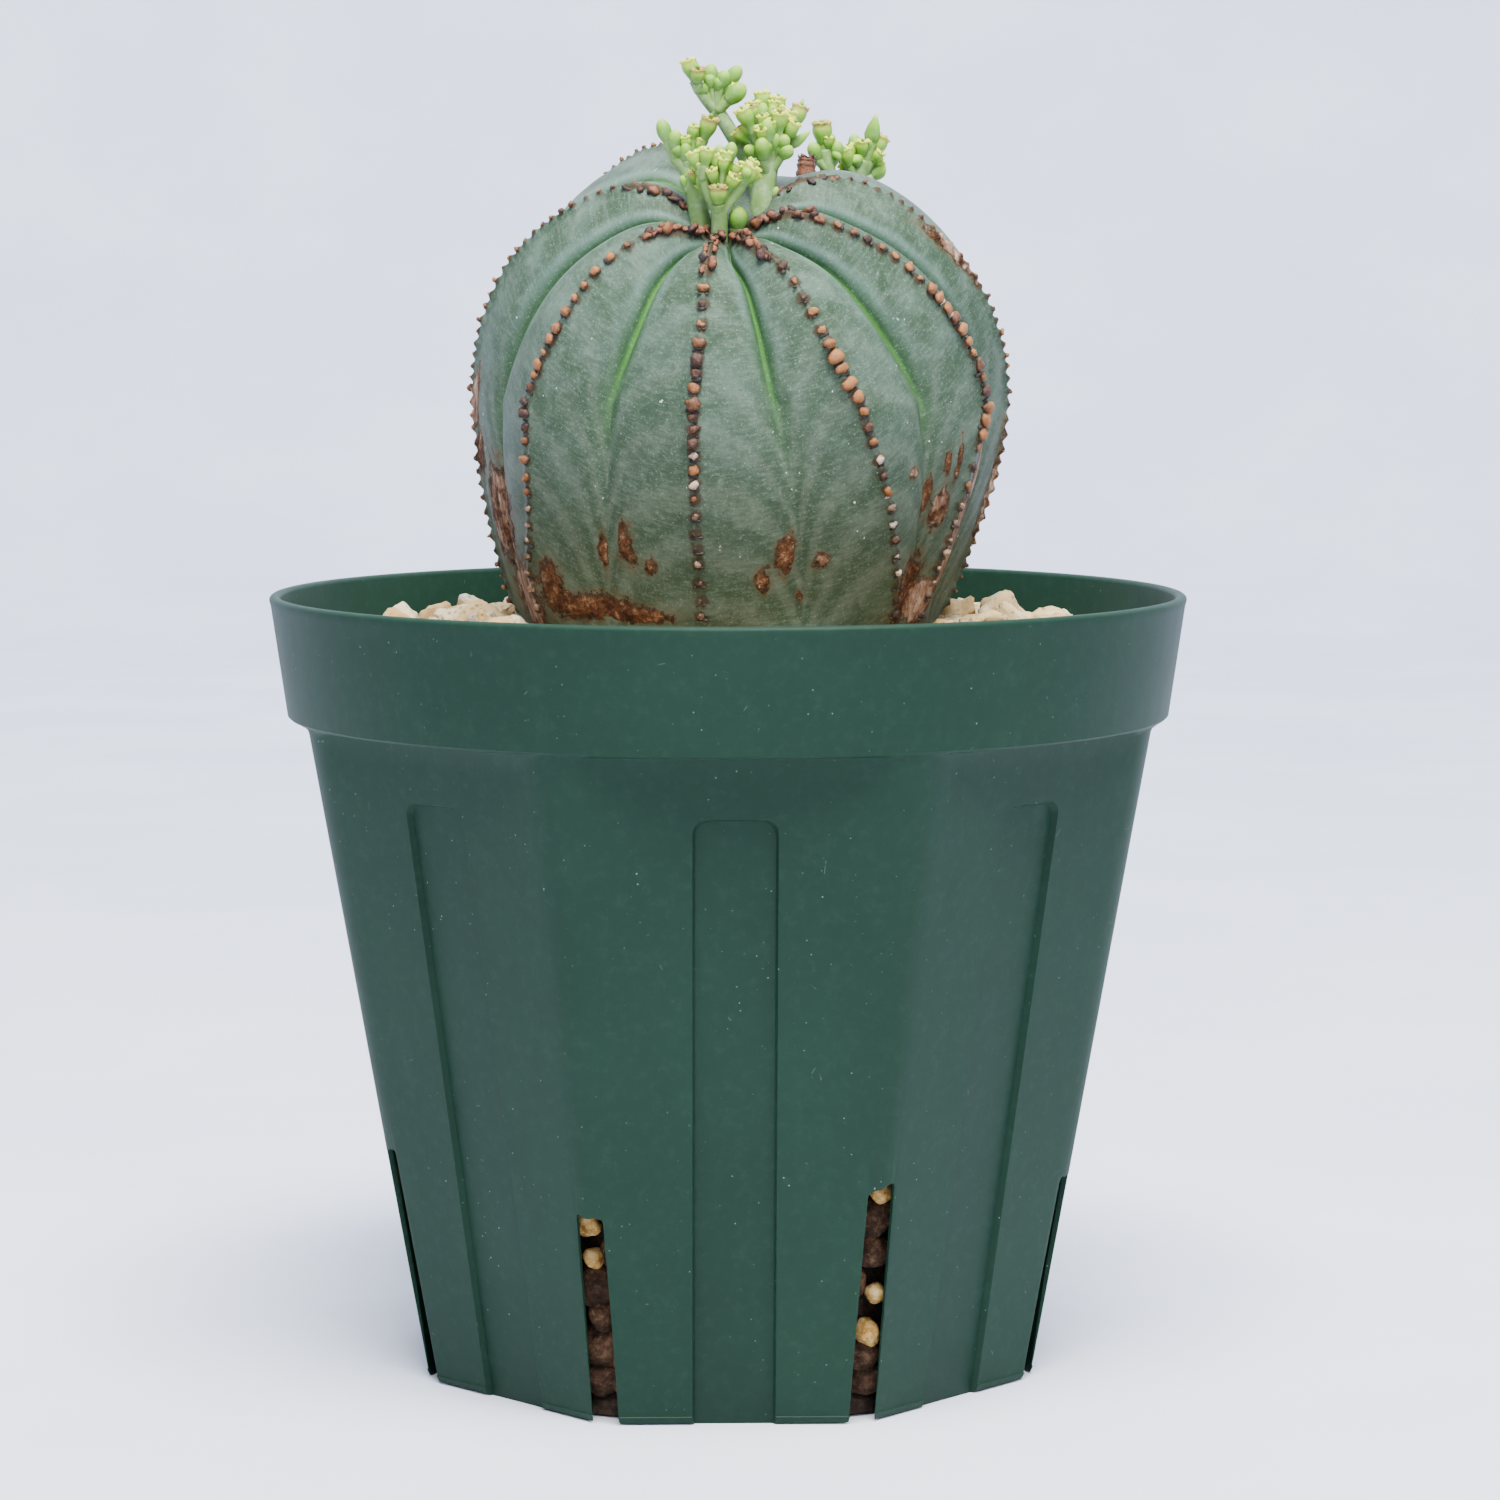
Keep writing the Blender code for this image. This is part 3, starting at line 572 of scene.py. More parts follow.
# %% [markdown]
# ## The globe's form
#
# The plant is nearly a sphere, but its ribs don't meet at the top: they start from a sunken
# growing point that leans towards us, and a second one lies behind it. So the crown is drawn along
# great circles from a growing point to the widest level, and a crest sways a little from one to
# the next. Great circles come from spherical interpolation between directions, and a blunt
# ellipsoid gives each direction its distance. Below the widest level the sides draw in towards the
# soil. The functions take whole arrays, so the same few lines make nearly fifty thousand points.

# %% The globe's sizes
PLANT_X, FOOT_X, PLANT_Y = 1.4, 0.2, 1.0
GLOBE_Z, GLOBE_RADIUS, CROWN_HEIGHT, BLUNT = 111.0, 29.9, 28.9, 2.2
FLANK_REACH, FLANK_CURVE = 68.8, 1.57
ROOT = ((84.0, 23.0), (79.0, 20.6), (74.0, 16.6), (69.0, 10.6), (65.0, 5.6), (62.5, 2.2))
FRONT_POINT, BACK_POINT, GROWTH_HEIGHT = (-1.2, -17.0), (10.2, 13.5), 24.8
DIP_DEPTH, DIP_WIDTH = 6.2, 6.5
# angles between which the ribs pass over to the back growing point, and by which they are back
TO_BACK, AT_BACK, TO_FRONT = 91.0, 141.0, 261.0


def smoothstep(x):
    x = np.clip(x, 0.0, 1.0)
    return x * x * (3 - 2 * x)


def slerp(a, b, t):
    """Turns unit vectors a towards b by a share t along the great circle."""
    omega = np.arccos(np.clip((a * b).sum(-1), -1.0, 1.0))[..., None]
    whole = np.where(np.sin(omega) < 1e-6, 1.0, np.sin(omega))
    t = np.asarray(t)[..., None]
    between = (np.sin((1 - t) * omega) * a + np.sin(t * omega) * b) / whole
    return np.where(omega < 1e-6, a, between)


def axis_x(z):
    return FOOT_X + (PLANT_X - FOOT_X) * smoothstep((z - 86.0) / 25.0)


def flank_radius(z):
    curved = GLOBE_RADIUS * (1 - (np.maximum(GLOBE_Z - z, 0.0) / FLANK_REACH) ** FLANK_CURVE)
    heights, radii = [h for h, _ in ROOT][::-1], [r for _, r in ROOT][::-1]
    return np.where(z >= ROOT[0][0], curved, np.interp(z, heights, radii))


print("radius at the soil:", round(float(flank_radius(np.array(87.0))), 1), "mm")


# %% The smooth globe
def growth_direction(angle):
    """The growing point that a rib at this angle starts from, as a direction."""
    first = TO_FRONT - 360.0
    a = (angle - first) % 360.0 + first
    rising = smoothstep((a - TO_BACK) / (AT_BACK - TO_BACK))
    falling = 1 - smoothstep((a - AT_BACK) / (TO_FRONT - AT_BACK))
    share = np.where(a < TO_BACK, 0.0, np.where(a < AT_BACK, rising, falling))
    front, back = (np.array((*p, GROWTH_HEIGHT)) for p in (FRONT_POINT, BACK_POINT))
    front, back = front / np.linalg.norm(front), back / np.linalg.norm(back)
    shape = angle.shape + (3,)
    return slerp(np.broadcast_to(front, shape), np.broadcast_to(back, shape), share)


def line_distance(x, y):
    """Distance in plan from the line between the growing points, and the share along it."""
    (ax, ay), (bx, by) = FRONT_POINT, BACK_POINT
    dx, dy = bx - ax, by - ay
    t = np.clip(((x - ax) * dx + (y - ay) * dy) / (dx * dx + dy * dy), 0.0, 1.0)
    return np.hypot(x - ax - t * dx, y - ay - t * dy), t


def globe(angle, row):
    """Points of the smooth globe. Row 0 to 1 is the crown, and each mm below it adds 1."""
    a = np.radians(angle)
    level = np.stack([np.sin(a), -np.cos(a), np.zeros_like(a)], -1)
    crown = slerp(growth_direction(angle), level, np.clip(row, 0.0, 1.0))
    wide = np.hypot(crown[..., 0], crown[..., 1]) / GLOBE_RADIUS
    high = np.abs(crown[..., 2]) / CROWN_HEIGHT
    crown = crown * ((wide ** BLUNT + high ** BLUNT) ** (-1.0 / BLUNT))[..., None]
    off, along = line_distance(crown[..., 0], crown[..., 1])
    dip = (DIP_DEPTH - 2.6 * np.sin(along * math.pi)) * np.exp(-((off / DIP_WIDTH) ** 2))
    crown[..., 2] += GLOBE_Z - dip
    z = GLOBE_Z - (row - 1.0)
    flank = np.concatenate([level[..., :2] * flank_radius(z)[..., None], z[..., None]], -1)
    point = np.where((row < 1.0)[..., None], crown, flank)
    point[..., 0] += axis_x(point[..., 2])
    point[..., 1] += PLANT_Y
    return point


def globe_normal(angle, row):
    across = globe(angle + 0.4, row) - globe(angle - 0.4, row)
    down = globe(angle, row + 0.008) - globe(angle, row - 0.008)
    normal = np.cross(down, across)
    return normal / np.linalg.norm(normal, axis=-1, keepdims=True)


print("front growing point:", globe(np.array([0.0]), np.array([0.05])).round(1)[0])

# %% [markdown]
# ## Where the crest nubs sit
#
# Along each crest sits a row of small corky nubs, each the scar of an old flower. They are one to
# two millimetres apart, crowd together near the crown, and swell into crusts in places. Before the
# skin is shaped we need their places, because the skin rises under each of them. We walk down
# every crest by arc length and drop a nub at each step, with a seeded draw for step and size.

# %% Walking down the crests
# for each rib, its crest's angle at some rows: 0 to 1 over the crown, then 1 for each mm below it
CRESTS = (
    ((0.3, -10.0), (0.7, -8.0), (1.0, -9.0), (13.0, -8.0), (24.0, -6.0)),
    ((0.3, 11.0), (0.5, 20.5), (1.0, 25.5), (7.0, 31.5), (16.0, 41.0), (24.0, 49.0)),
    ((0.3, 52.0), (0.5, 63.0), (0.8, 66.0), (2.0, 64.0), (24.0, 61.0)),
    ((0.3, 97.0), (0.6, 91.0), (1.0, 87.0), (24.0, 86.0)),
    ((0.3, 138.0), (1.0, 131.0), (24.0, 128.0)),
    ((0.3, 182.0), (1.0, 176.0), (24.0, 174.0)),
    ((0.3, 226.0), (1.0, 222.0), (24.0, 220.0)),
    ((0.3, 262.0), (0.6, 263.0), (1.0, 272.0), (24.0, 274.0)),
    ((0.2, 326.0), (0.3, 318.0), (0.5, 311.0), (1.0, 310.0), (15.0, 307.0), (20.0, 301.0)),
)
SHARES = (-1.0, -0.95, -0.88, -0.80, -0.70, -0.58, -0.46, -0.35, -0.25, -0.17, -0.10, -0.05,
          0.0, 0.05, 0.10, 0.17, 0.25, 0.35, 0.46, 0.58, 0.70, 0.80, 0.88, 0.95)
ROWS = np.concatenate([np.linspace(0.06, 0.995, 150), 1.0 + np.arange(0.4, 27.0, 0.40),
                       1.0 + np.array([28.5, 31.0, 34.0, 38.0, 42.0, 45.0, 48.5])])
SOIL_Z = 86.5


def crest_lines():
    """Each crest's angle at every row, with the corners of its table smoothed away."""
    lines = [np.interp(ROWS, *zip(*table)) for table in CRESTS]
    padded = [np.pad(line, 9, mode="edge") for line in lines]
    return [np.convolve(line, np.ones(19) / 19, mode="valid") for line in padded]


def rib_grid():
    """The angle of every point, and the signed share across the rib of every column."""
    crests, columns, shares = crest_lines(), [], []
    for k, crest in enumerate(crests):
        before = (crest - crests[k - 1]) % 360.0 / 2
        after = (crests[(k + 1) % len(crests)] - crest) % 360.0 / 2
        columns += [crest + s * (before if s < 0 else after) for s in SHARES]
        shares += SHARES
    return np.array(columns).T, np.array(shares)


angles, share_line = rib_grid()
rows = np.repeat(ROWS[:, None], len(share_line), axis=1)
smooth_points, normals = globe(angles, rows), globe_normal(angles, rows)
steps = np.linalg.norm(np.diff(smooth_points, axis=0), axis=-1)
along = np.vstack([np.zeros(len(share_line)), np.cumsum(steps, axis=0)])
print("grid:", angles.shape, "longest crest:", round(float(along.max())), "mm")

# %% Placing the nubs
# heights between which a rib's nubs swell into a crust, and the ribs whose nubs are fine teeth
CRUSTS = {0: (101.0, 118.0), 1: (111.5, 118.5), 2: (106.0, 124.0), 8: (108.0, 119.5)}
FINE_RIBS = (3, 4, 5, 6, 7)
# how far along a crest the nubs crowd, and the height below which they are small
CROWDED, SMALL_BELOW = 9.0, 101.0


def crest_nubs(rib, draw):
    """Rows of place, normal, direction down the crest, and size for one rib's nubs."""
    column = rib * len(SHARES) + SHARES.index(0.0)
    length = along[:, column]
    end = length[np.argmax(smooth_points[:, column, 2] < SOIL_Z)]
    found, s = [], 1.2
    while s < end:
        near_crown = s < CROWDED
        at = [np.interp(s, length, smooth_points[:, column, i]) for i in range(3)]
        low, high = CRUSTS.get(rib, (0.0, 0.0))
        size = draw.uniform(0.26, 0.56) if near_crown else draw.uniform(0.38, 0.62)
        if low < at[2] < high:
            size = draw.uniform(0.50, 0.84)
        elif rib in FINE_RIBS and not near_crown:
            size = draw.uniform(0.36, 0.52)
        elif at[2] < SMALL_BELOW:
            size = draw.uniform(0.32, 0.46)
        up = [np.interp(s, length, normals[:, column, i]) for i in range(3)]
        ahead = [np.interp(s + 0.5, length, smooth_points[:, column, i]) for i in range(3)]
        found.append((np.array(at), np.array(up), np.subtract(ahead, at), size, rib, s))
        closest, widest = (1.3, 1.8) if rib in FINE_RIBS else (1.6, 2.3)
        if near_crown:
            closest, widest = 0.28, 0.52
        elif low < at[2] < high:
            closest, widest = 1.2, 1.8
        s += draw.uniform(closest, widest)
    return found


draw = random.Random(8)
nubs = [nub for rib in range(len(CRESTS)) for nub in crest_nubs(rib, draw)]
nub_places = np.array([nub[0] for nub in nubs])
print("nubs:", len(nubs))

# %% [markdown]
# ## The ribs, furrows and cork patches
#
# A rib is a broad, almost flat-sided ridge. The furrow between two ribs is a sharp groove near the
# crown and almost fades out halfway down. The relief is the height over the smooth globe, and it
# is a formula of the share across the rib, where 0 is the crest and 1 the furrow. Where the skin
# was hurt or rubbed the plant grew a brown cork, mostly low down. The patches are listed by their
# place on the globe, and the same list raises the skin and colours it.

# %% Cork patches
# angle round the axis, height, half width and half height in mm, and how pale the cork is
PATCHES = (
    (-25.5, 95.6, 1.0, 3.0, 0.3), (-32.0, 94.8, 0.6, 2.6, 0.3), (-19.5, 93.2, 0.8, 1.4, 0.3),
    (13.5, 94.4, 1.3, 2.6, 0.2), (22.5, 93.8, 0.9, 1.3, 0.3), (8.0, 91.4, 0.7, 1.7, 0.3),
    (18.5, 89.6, 0.5, 0.6, 0.3), (55.0, 99.0, 1.6, 2.6, 0.5), (58.0, 104.5, 0.5, 3.2, 0.4),
    (43.5, 103.2, 0.9, 0.9, 0.9), (-38.0, 88.4, 6.5, 1.7, 0.2), (-50.0, 90.4, 2.2, 3.6, 0.3),
    (-24.0, 87.6, 5.0, 1.0, 0.2), (-73.0, 98.0, 4.6, 6.5, 0.50), (-66.0, 89.0, 5.0, 4.8, 0.95),
    (-84.0, 105.0, 2.2, 3.0, 0.1), (-86.0, 111.0, 1.8, 4.0, 0.95),
    (52.0, 90.0, 2.2, 4.4, 0.3), (59.0, 88.6, 3.4, 3.0, 0.8), (66.5, 95.0, 2.2, 7.5, 0.75),
    (70.0, 103.0, 1.4, 5.0, 0.7), (50.0, 100.5, 0.7, 2.6, 0.3), (54.0, 104.0, 0.5, 2.0, 0.2),
    (88.0, 101.0, 1.8, 9.0, 0.5), (92.0, 126.0, 1.6, 4.5, 0.5), (74.0, 122.0, 0.8, 3.5, 0.3),
    (262.0, 105.0, 1.6, 6.0, 0.6), (160.0, 91.0, 6.0, 3.0, 0.4),
    (205.0, 90.0, 7.0, 2.6, 0.5), (240.0, 93.0, 3.0, 5.0, 0.4), (130.0, 92.0, 4.0, 4.0, 0.5),
)


def patch_masks(angle, z):
    """How much of a point is cork, and how pale that cork is."""
    cork, pale = np.zeros_like(z), np.zeros_like(z)
    for centre, height, wide, tall, light in PATCHES:
        off = ((angle - centre + 180.0) % 360.0 - 180.0) * math.radians(1) * flank_radius(z)
        reach = np.exp(-((off / wide) ** 2 + ((z - height) / tall) ** 2))
        pale = np.where(reach > cork, light, pale)
        cork = np.maximum(cork, reach)
    return cork, pale


cork, pale = patch_masks(angles, smooth_points[..., 2])
print("share of skin with cork:", round(float((cork > 0.4).mean()), 3))

# %% Relief over the globe
RIB_DEPTH, GROOVE_DEPTH, CREST_LINE, TOOTH, CORK_RISE = 2.1, 1.0, 0.28, 1.10, 0.16
across = np.abs(np.broadcast_to(share_line, angles.shape))


def nearest_nub(points):
    """Distance from each point to the nearest nub, and that nub's size."""
    flat = points.reshape(-1, 3)
    best, size = np.full(len(flat), 1e9), np.zeros(len(flat))
    for place, nub in zip(nub_places, nubs):
        gap = ((flat - place) ** 2).sum(-1)
        closer = gap < best
        best[closer], size[closer] = gap[closer], nub[3]
    return np.sqrt(best).reshape(points.shape[:-1]), size.reshape(points.shape[:-1])


def relief():
    """Height over the smooth globe, and from 0 to 1 how near a nub each point is."""
    z = smooth_points[..., 2]
    fade = smoothstep((z - 84.5) / 4.0)
    upper = smoothstep((z - 98.0) / 22.0)
    start = smoothstep((rows - 0.05) / 0.3)
    # each rib is a ridge with a thin crest line, between grooves that are deepest near the crown
    depth = RIB_DEPTH * (0.45 + 0.55 * upper) * (0.35 + 0.65 * start)
    height = 0.30 - depth * across ** 1.5
    groove = np.clip(1 - (1 - across) / 0.16, 0.0, 1.0) ** 1.4
    height -= GROOVE_DEPTH * (0.12 + 0.88 * upper) * start * groove
    height += CREST_LINE * np.exp(-((across / 0.07) ** 2))
    # the skin rises to teeth under fine nubs, and to low swellings under the others
    gap, size = nearest_nub(smooth_points)
    toothed = np.isin(np.arange(len(share_line)) // len(SHARES), FINE_RIBS)
    rise = np.where(toothed, TOOTH, 0.45)
    reach = np.where(toothed, 0.30 + size * 0.45, 0.45 + size * 0.6)
    height += rise * size * np.exp(-((gap / reach) ** 2))
    height += CORK_RISE * np.clip(cork * 1.6 - 0.5, 0.0, 1.0)
    return height * fade, np.exp(-((gap / np.where(toothed, 0.75, 1.25)) ** 2))


height, near_nub = relief()
skin_points = smooth_points + normals * height[..., None]
print("relief from", round(float(height.min()), 2), "to", round(float(height.max()), 2), "mm")

# %% [markdown]
# ## The plant's skin
#
# The skin is a dusty grey-green. Bands of darker green cross each rib in a V that points down the
# furrow, like a woven check, over fine lines that run round the globe. The grooves near the crown
# are a fresh bright green, because the skin there is youngest. The cork is rust brown at its edge
# and tan where it has flaked. The material reads values that are stored on the mesh: `across` for
# the share across the rib, `along` for the distance down it, `cork`, `pale` and `near_nub`. The
# masks come first, and then the coats of colour in their order.


# %% Finish: banded green skin
def plant_skin():
    f = Finish("banded_skin", Specular_IOR_Level=0.14)
    side, down, nub = f.stored("across"), f.stored("along"), f.stored("near_nub")
    axes = f.node("ShaderNodeSeparateXYZ", None, {"Vector": f.place})
    height = axes["Z"]
    rings_at = f.node("ShaderNodeCombineXYZ", None,
                      {"X": axes["X"] * 700, "Y": axes["Y"] * 700, "Z": down * 2.9})
    rings = f.noise(1000, 4, 0.70, at=rings_at)
    mottle, fine = f.noise(1.3, 6, 0.82), f.noise(0.30, 4, 0.80)
    check = down - side * 4.4 - (side ** 5) * 10.0 + f.noise(6, 4, 0.6) * 4.5
    wave = check.math("SINE", check * 0.93)
    bands = f.band(wave + (f.noise(1.8, 5, 0.75) - 0.5) * 3.0, -0.9, 1.2)
    upper, grit = f.band(height, 0.096, 0.130), f.band(fine, 0.56, 0.68)
    bloom = f.patchy(8, 0.44, 0.66, 6, 0.70) * (1 - f.band(side, 0.55, 1.0))
    # painted sheen: a pale bluish reflection of the sky, painted on the upper rib sides near the
    # furrows
    painted_sheen = f.band(side, 0.60, 0.84) * (1 - f.band(side, 0.88, 0.96)) * f.band(height, 0.110, 0.134)
    young = f.band(side, 0.76, 0.96) * f.band(height, 0.101, 0.118)
    groove = f.band(side + (mottle - 0.5) * 0.05, 0.930, 0.995) * f.band(height, 0.105, 0.120)
    # brown round each nub: partly the cork's own halo, partly painted shade where the nub sits on the
    # skin
    nub_halo_and_shade = f.band(nub + (f.noise(0.8) - 0.5) * 0.8, 0.56, 0.84)
    ragged = f.stored("cork") + (f.noise(1.2, 5, 0.8) - 0.5) * 1.5
    patch, stain = f.band(ragged, 0.42, 0.62), f.band(ragged, 0.22, 0.45)
    white = f.patchy(0.7, 0.735, 0.76, 2) * f.patchy(9, 0.5, 0.62, 2)
    rust = f.ramp(f.noise(1.1, 6, 0.80),
                  ((0.38, (0.022, 0.008, 0.005)), (0.47, (0.090, 0.030, 0.012)),
                   (0.56, (0.175, 0.076, 0.030)), (0.65, (0.42, 0.25, 0.15))))
    flake = f.ramp(f.noise(1.3, 6, 0.8, at=f.drawn_out(0.28)),
                   ((0.36, (0.085, 0.035, 0.020)), (0.49, (0.29, 0.160, 0.100)),
                    (0.62, (0.60, 0.46, 0.36))))
    bark = f.mix(f.band(f.stored("pale") + (f.noise(2.2) - 0.5) * 1.4, 0.38, 0.62), rust, flake)
    deep = f.mix(f.noise(9), (0.020, 0.044, 0.023), (0.038, 0.068, 0.038))
    dusty = f.mix(upper, (0.094, 0.122, 0.088), (0.051, 0.090, 0.061))
    color = f.coats(deep,
                    (0.16 + bands * 0.58, dusty),
                    (f.band(mottle, 0.48, 0.66) * 0.34, (0.125, 0.175, 0.130)),
                    ((1 - f.band(mottle, 0.34, 0.50)) * 0.40, (0.020, 0.046, 0.024)),
                    (f.band(rings, 0.50, 0.64) * 0.22, (0.160, 0.220, 0.170)),
                    ((1 - f.band(rings, 0.36, 0.49)) * 0.28, (0.020, 0.044, 0.024)),
                    (bloom * (0.10 + upper * 0.20), (0.170, 0.245, 0.205)),
                    # the painted sheen
                    (painted_sheen * 0.42, (0.190, 0.310, 0.275)),
                    (young * 0.62, (0.026, 0.080, 0.026)),
                    (groove * 0.72, (0.062, 0.205, 0.028)),
                    (grit * 0.42, (0.29, 0.37, 0.29)),
                    # the cork halo and painted shade round each nub
                    (nub_halo_and_shade * 0.75, (0.042, 0.017, 0.007)),
                    (stain * 0.50, (0.135, 0.065, 0.022)),
                    (patch * 0.92, bark),
                    (white, (0.75, 0.77, 0.74)))
    grain = f.bump(rings * 0.7 + fine, 0.050)
    normal = f.bump(patch * (0.35 + f.noise(0.9, 6, 0.80)), 0.48, below=grain)
    return f.done(color, 0.50 + patch * 0.35 + grit * 0.15, normal)


skin = plant_skin()
print("skin nodes:", len(skin.node_tree.nodes))

# %% Making the skin
count = len(share_line)
faces = ring_faces(len(ROWS), count, caps=False)
bottom = (len(ROWS) - 1) * count
faces.append(tuple(range(bottom, bottom + count)))
# the crown's small opening is a hollow outline, so triangles close it instead of one face
crown_plan = [Vector((p[0], p[1], 0.0)) for p in skin_points[0]]
faces += [tuple(t) for t in tessellate_polygon([crown_plan])]
plant = make_object("plant_skin", skin_points.reshape(-1, 3), faces, skin,
                    {"across": across, "along": along, "cork": cork, "pale": pale,
                     "near_nub": near_nub})
keep(plant, ("plant_body",))

# %% [markdown]
# ## Scattering with Geometry Nodes
#
# Nubs, stones and lumps of soil are all the same problem: many small irregular bodies, each with
# its own place, size and turn. Geometry Nodes do this well. A mesh of bare points carries the
# places, two stored vectors carry size and turn, and `shade` is a random number that the material
# may use to tell one body from the next. The tree puts one of a few shapes on every point, makes
# the copies real, and pushes their surfaces in and out by noise. As the noise is read where each
# copy lies, no two come out alike. The modifier's inputs are set by their identifiers, and then
# the result is frozen into a plain mesh.
#
# The shapes are balls, or balls cut by flat planes as a broken stone is. A point of the ball moves
# in to the nearest plane along its direction, and a soft minimum rounds the edges between planes.
# Each shape also stores `top`, its height from -1 to 1, so that a nub can have a painted highlight on
# its top and painted shade at its foot.


# %% Shapes for irregular bodies
# the higher the power, the sharper the edges between a stone's planes
EDGE_POWER = 18


def shape(name, subdivisions, cuts, draw):
    """A ball of radius 1, cut by a number of random planes."""
    ball = bmesh.new()
    bmesh.ops.create_icosphere(ball, subdivisions=subdivisions, radius=1.0)
    directions = np.array([v.co.normalized() for v in ball.verts])
    if cuts:
        planes = [[draw.gauss(0, 1) for _ in range(3)] for _ in range(cuts)]
        planes = np.vstack([planes, np.eye(3), -np.eye(3)])
        planes /= np.linalg.norm(planes, axis=1, keepdims=True)
        heights = np.array([draw.uniform(0.62, 0.95) for _ in planes])
        pull = (np.clip(directions @ planes.T, 0.0, None) / heights) ** EDGE_POWER
        directions = directions * (pull.sum(axis=1) ** (-1 / EDGE_POWER))[:, None]
    faces = [tuple(v.index for v in face.verts) for face in ball.faces]
    ball.free()
    return make_object(name, directions / MM, faces, blank, {"top": directions[:, 2]})


def shape_set(name, count, subdivisions, cuts):
    """A hidden collection of shapes to scatter."""
    group = bpy.data.collections.new(name)
    for k in range(count):
        move_to(shape(f"{name}_{k}", subdivisions, cuts, draw), group)
    return group


draw = random.Random(3)
shape_sets = {name: shape_set(name, *numbers) for name, *numbers in (
    ("button", 1, 2, 0), ("small_chip", 5, 2, 9), ("chip", 6, 3, 9), ("lump", 1, 3, 0),
    ("large_chip", 7, 4, 9))}
print("shapes:", ", ".join(shape_sets))

# %% A tree for irregular bodies
def scatter_tree():
    """Shapes on points, pushed about by two noises. Gives the tree and its inputs' identifiers."""
    tree = bpy.data.node_groups.new("irregular_bodies", "GeometryNodeTree")
    kinds = {"Geometry": "Geometry", "Shapes": "Collection", "Lump size": "Float",
             "Lump push": "Float", "Grain size": "Float", "Grain push": "Float",
             "Material": "Material"}
    names = {name: tree.interface.new_socket(name=name, in_out="INPUT",
                                             socket_type="NodeSocket" + kind).identifier
             for name, kind in kinds.items()}
    tree.interface.new_socket(name="Geometry", in_out="OUTPUT", socket_type="NodeSocketGeometry")
    g = Graph(tree)
    given = g.node("NodeGroupInput")
    shapes = g.node("GeometryNodeCollectionInfo", None,
                    {"Collection": given["Shapes"], "Separate Children": True,
                     "Reset Children": True})
    size, turn = [g.node("GeometryNodeInputNamedAttribute", {"data_type": "FLOAT_VECTOR"},
                         {"Name": name}) for name in ("size", "turn")]
    copies = g.node("GeometryNodeInstanceOnPoints", None,
                    {"Points": given["Geometry"], "Instance": shapes, "Pick Instance": True,
                     "Rotation": turn, "Scale": size})
    real = g.node("GeometryNodeRealizeInstances", None, {"Geometry": copies})
    place, normal = g.node("GeometryNodeInputPosition"), g.node("GeometryNodeInputNormal")
    for step in ("Lump", "Grain"):
        rough = g.node("ShaderNodeTexNoise", None,
                       {"Vector": place, "Scale": 1.0 / given[step + " size"], "Detail": 1.0})
        push = g.node("ShaderNodeVectorMath", {"operation": "SCALE"},
                      {0: normal, "Scale": (rough - 0.5) * given[step + " push"] * 2.0})
        real = g.node("GeometryNodeSetPosition", None, {"Geometry": real, "Offset": push})
    finished = g.node("GeometryNodeSetMaterial", None,
                      {"Geometry": real, "Material": given["Material"]})
    g.node("NodeGroupOutput", None, {0: finished})
    return tree, names


bodies_tree, bodies_inputs = scatter_tree()
print("inputs:", ", ".join(bodies_inputs))


# %% Scattering bodies on points
def scatter(name, places, sizes, turns, shapes, material, **values):
    """Freezes one scatter of irregular bodies into a plain mesh object."""
    mesh = bpy.data.meshes.new(name)
    mesh.from_pydata((np.asarray(places) * MM).tolist(), [], [])
    store(mesh, "size", np.asarray(sizes) * MM, "FLOAT_VECTOR")
    store(mesh, "turn", np.asarray(turns), "FLOAT_VECTOR")
    pick = random.Random(len(places))
    store(mesh, "shade", [pick.random() for _ in places])
    obj = add_object(name, mesh)
    modifier = obj.modifiers.new("bodies", "NODES")
    modifier.node_group = bodies_tree
    for key, value in {"Shapes": shape_sets[shapes], "Material": material, **values}.items():
        modifier[bodies_inputs[key.replace("_", " ")]] = value
    apply_modifiers(obj)
    obj.data.shade_smooth()
    return obj


def turn_to(normal, along_crest):
    """Angles that stand a body on a surface, lengthwise along the crest."""
    z = Vector(normal).normalized()
    x = Vector(along_crest)
    x = (x - z * x.dot(z)).normalized()
    return Matrix((x, z.cross(x), z)).transposed().to_euler()


print("scatter is ready")

# %% [markdown]
# ## The crest nubs
#
# Each nub is a squat corky button, rust brown, with a painted highlight on its top and a painted
# shade line where it meets the skin. Near the crown they are the stumps of last year's flower
# stalks: darker, longer and leaning all ways. Low down they are greyer and worn. A thin near-black
# body below a nub is painted shade: it stands for the shaded slot between it and the next.


# %% Finish: cork
def cork_finish(name, dark, warm, tan, caps):
    f = Finish(name, Specular_IOR_Level=0.5)
    top, shade = f.stored("top"), f.stored("shade")
    grain = f.noise(0.45, 5, 0.75)
    color = f.ramp(grain + (shade - 0.5) * 0.45, ((0.32, dark), (0.48, warm), (0.66, tan)))
    # a painted highlight on the top of some nubs
    top_highlight = f.band(top + (grain - 0.5) * 1.2, 0.30, 0.85) * f.band(shade, 0.20, 0.85)
    white = f.band(shade, 0.978, 0.985) * f.band(top + (grain - 0.5) * 2.5, 0.2, 0.7)
    # painted shade at the foot of each nub, where it meets the skin
    painted_foot_shade = 1 - f.band(top + (grain - 0.5) * 0.8, -0.3, 0.45)
    color = f.coats(color, (top_highlight * caps, (0.34, 0.135, 0.034)),
                    (white * 0.75, (0.56, 0.50, 0.44)), (painted_foot_shade * 0.85, dark))
    return f.done(color, 0.42 + grain * 0.3, f.bump(f.noise(0.26, 4, 0.7), 0.12))
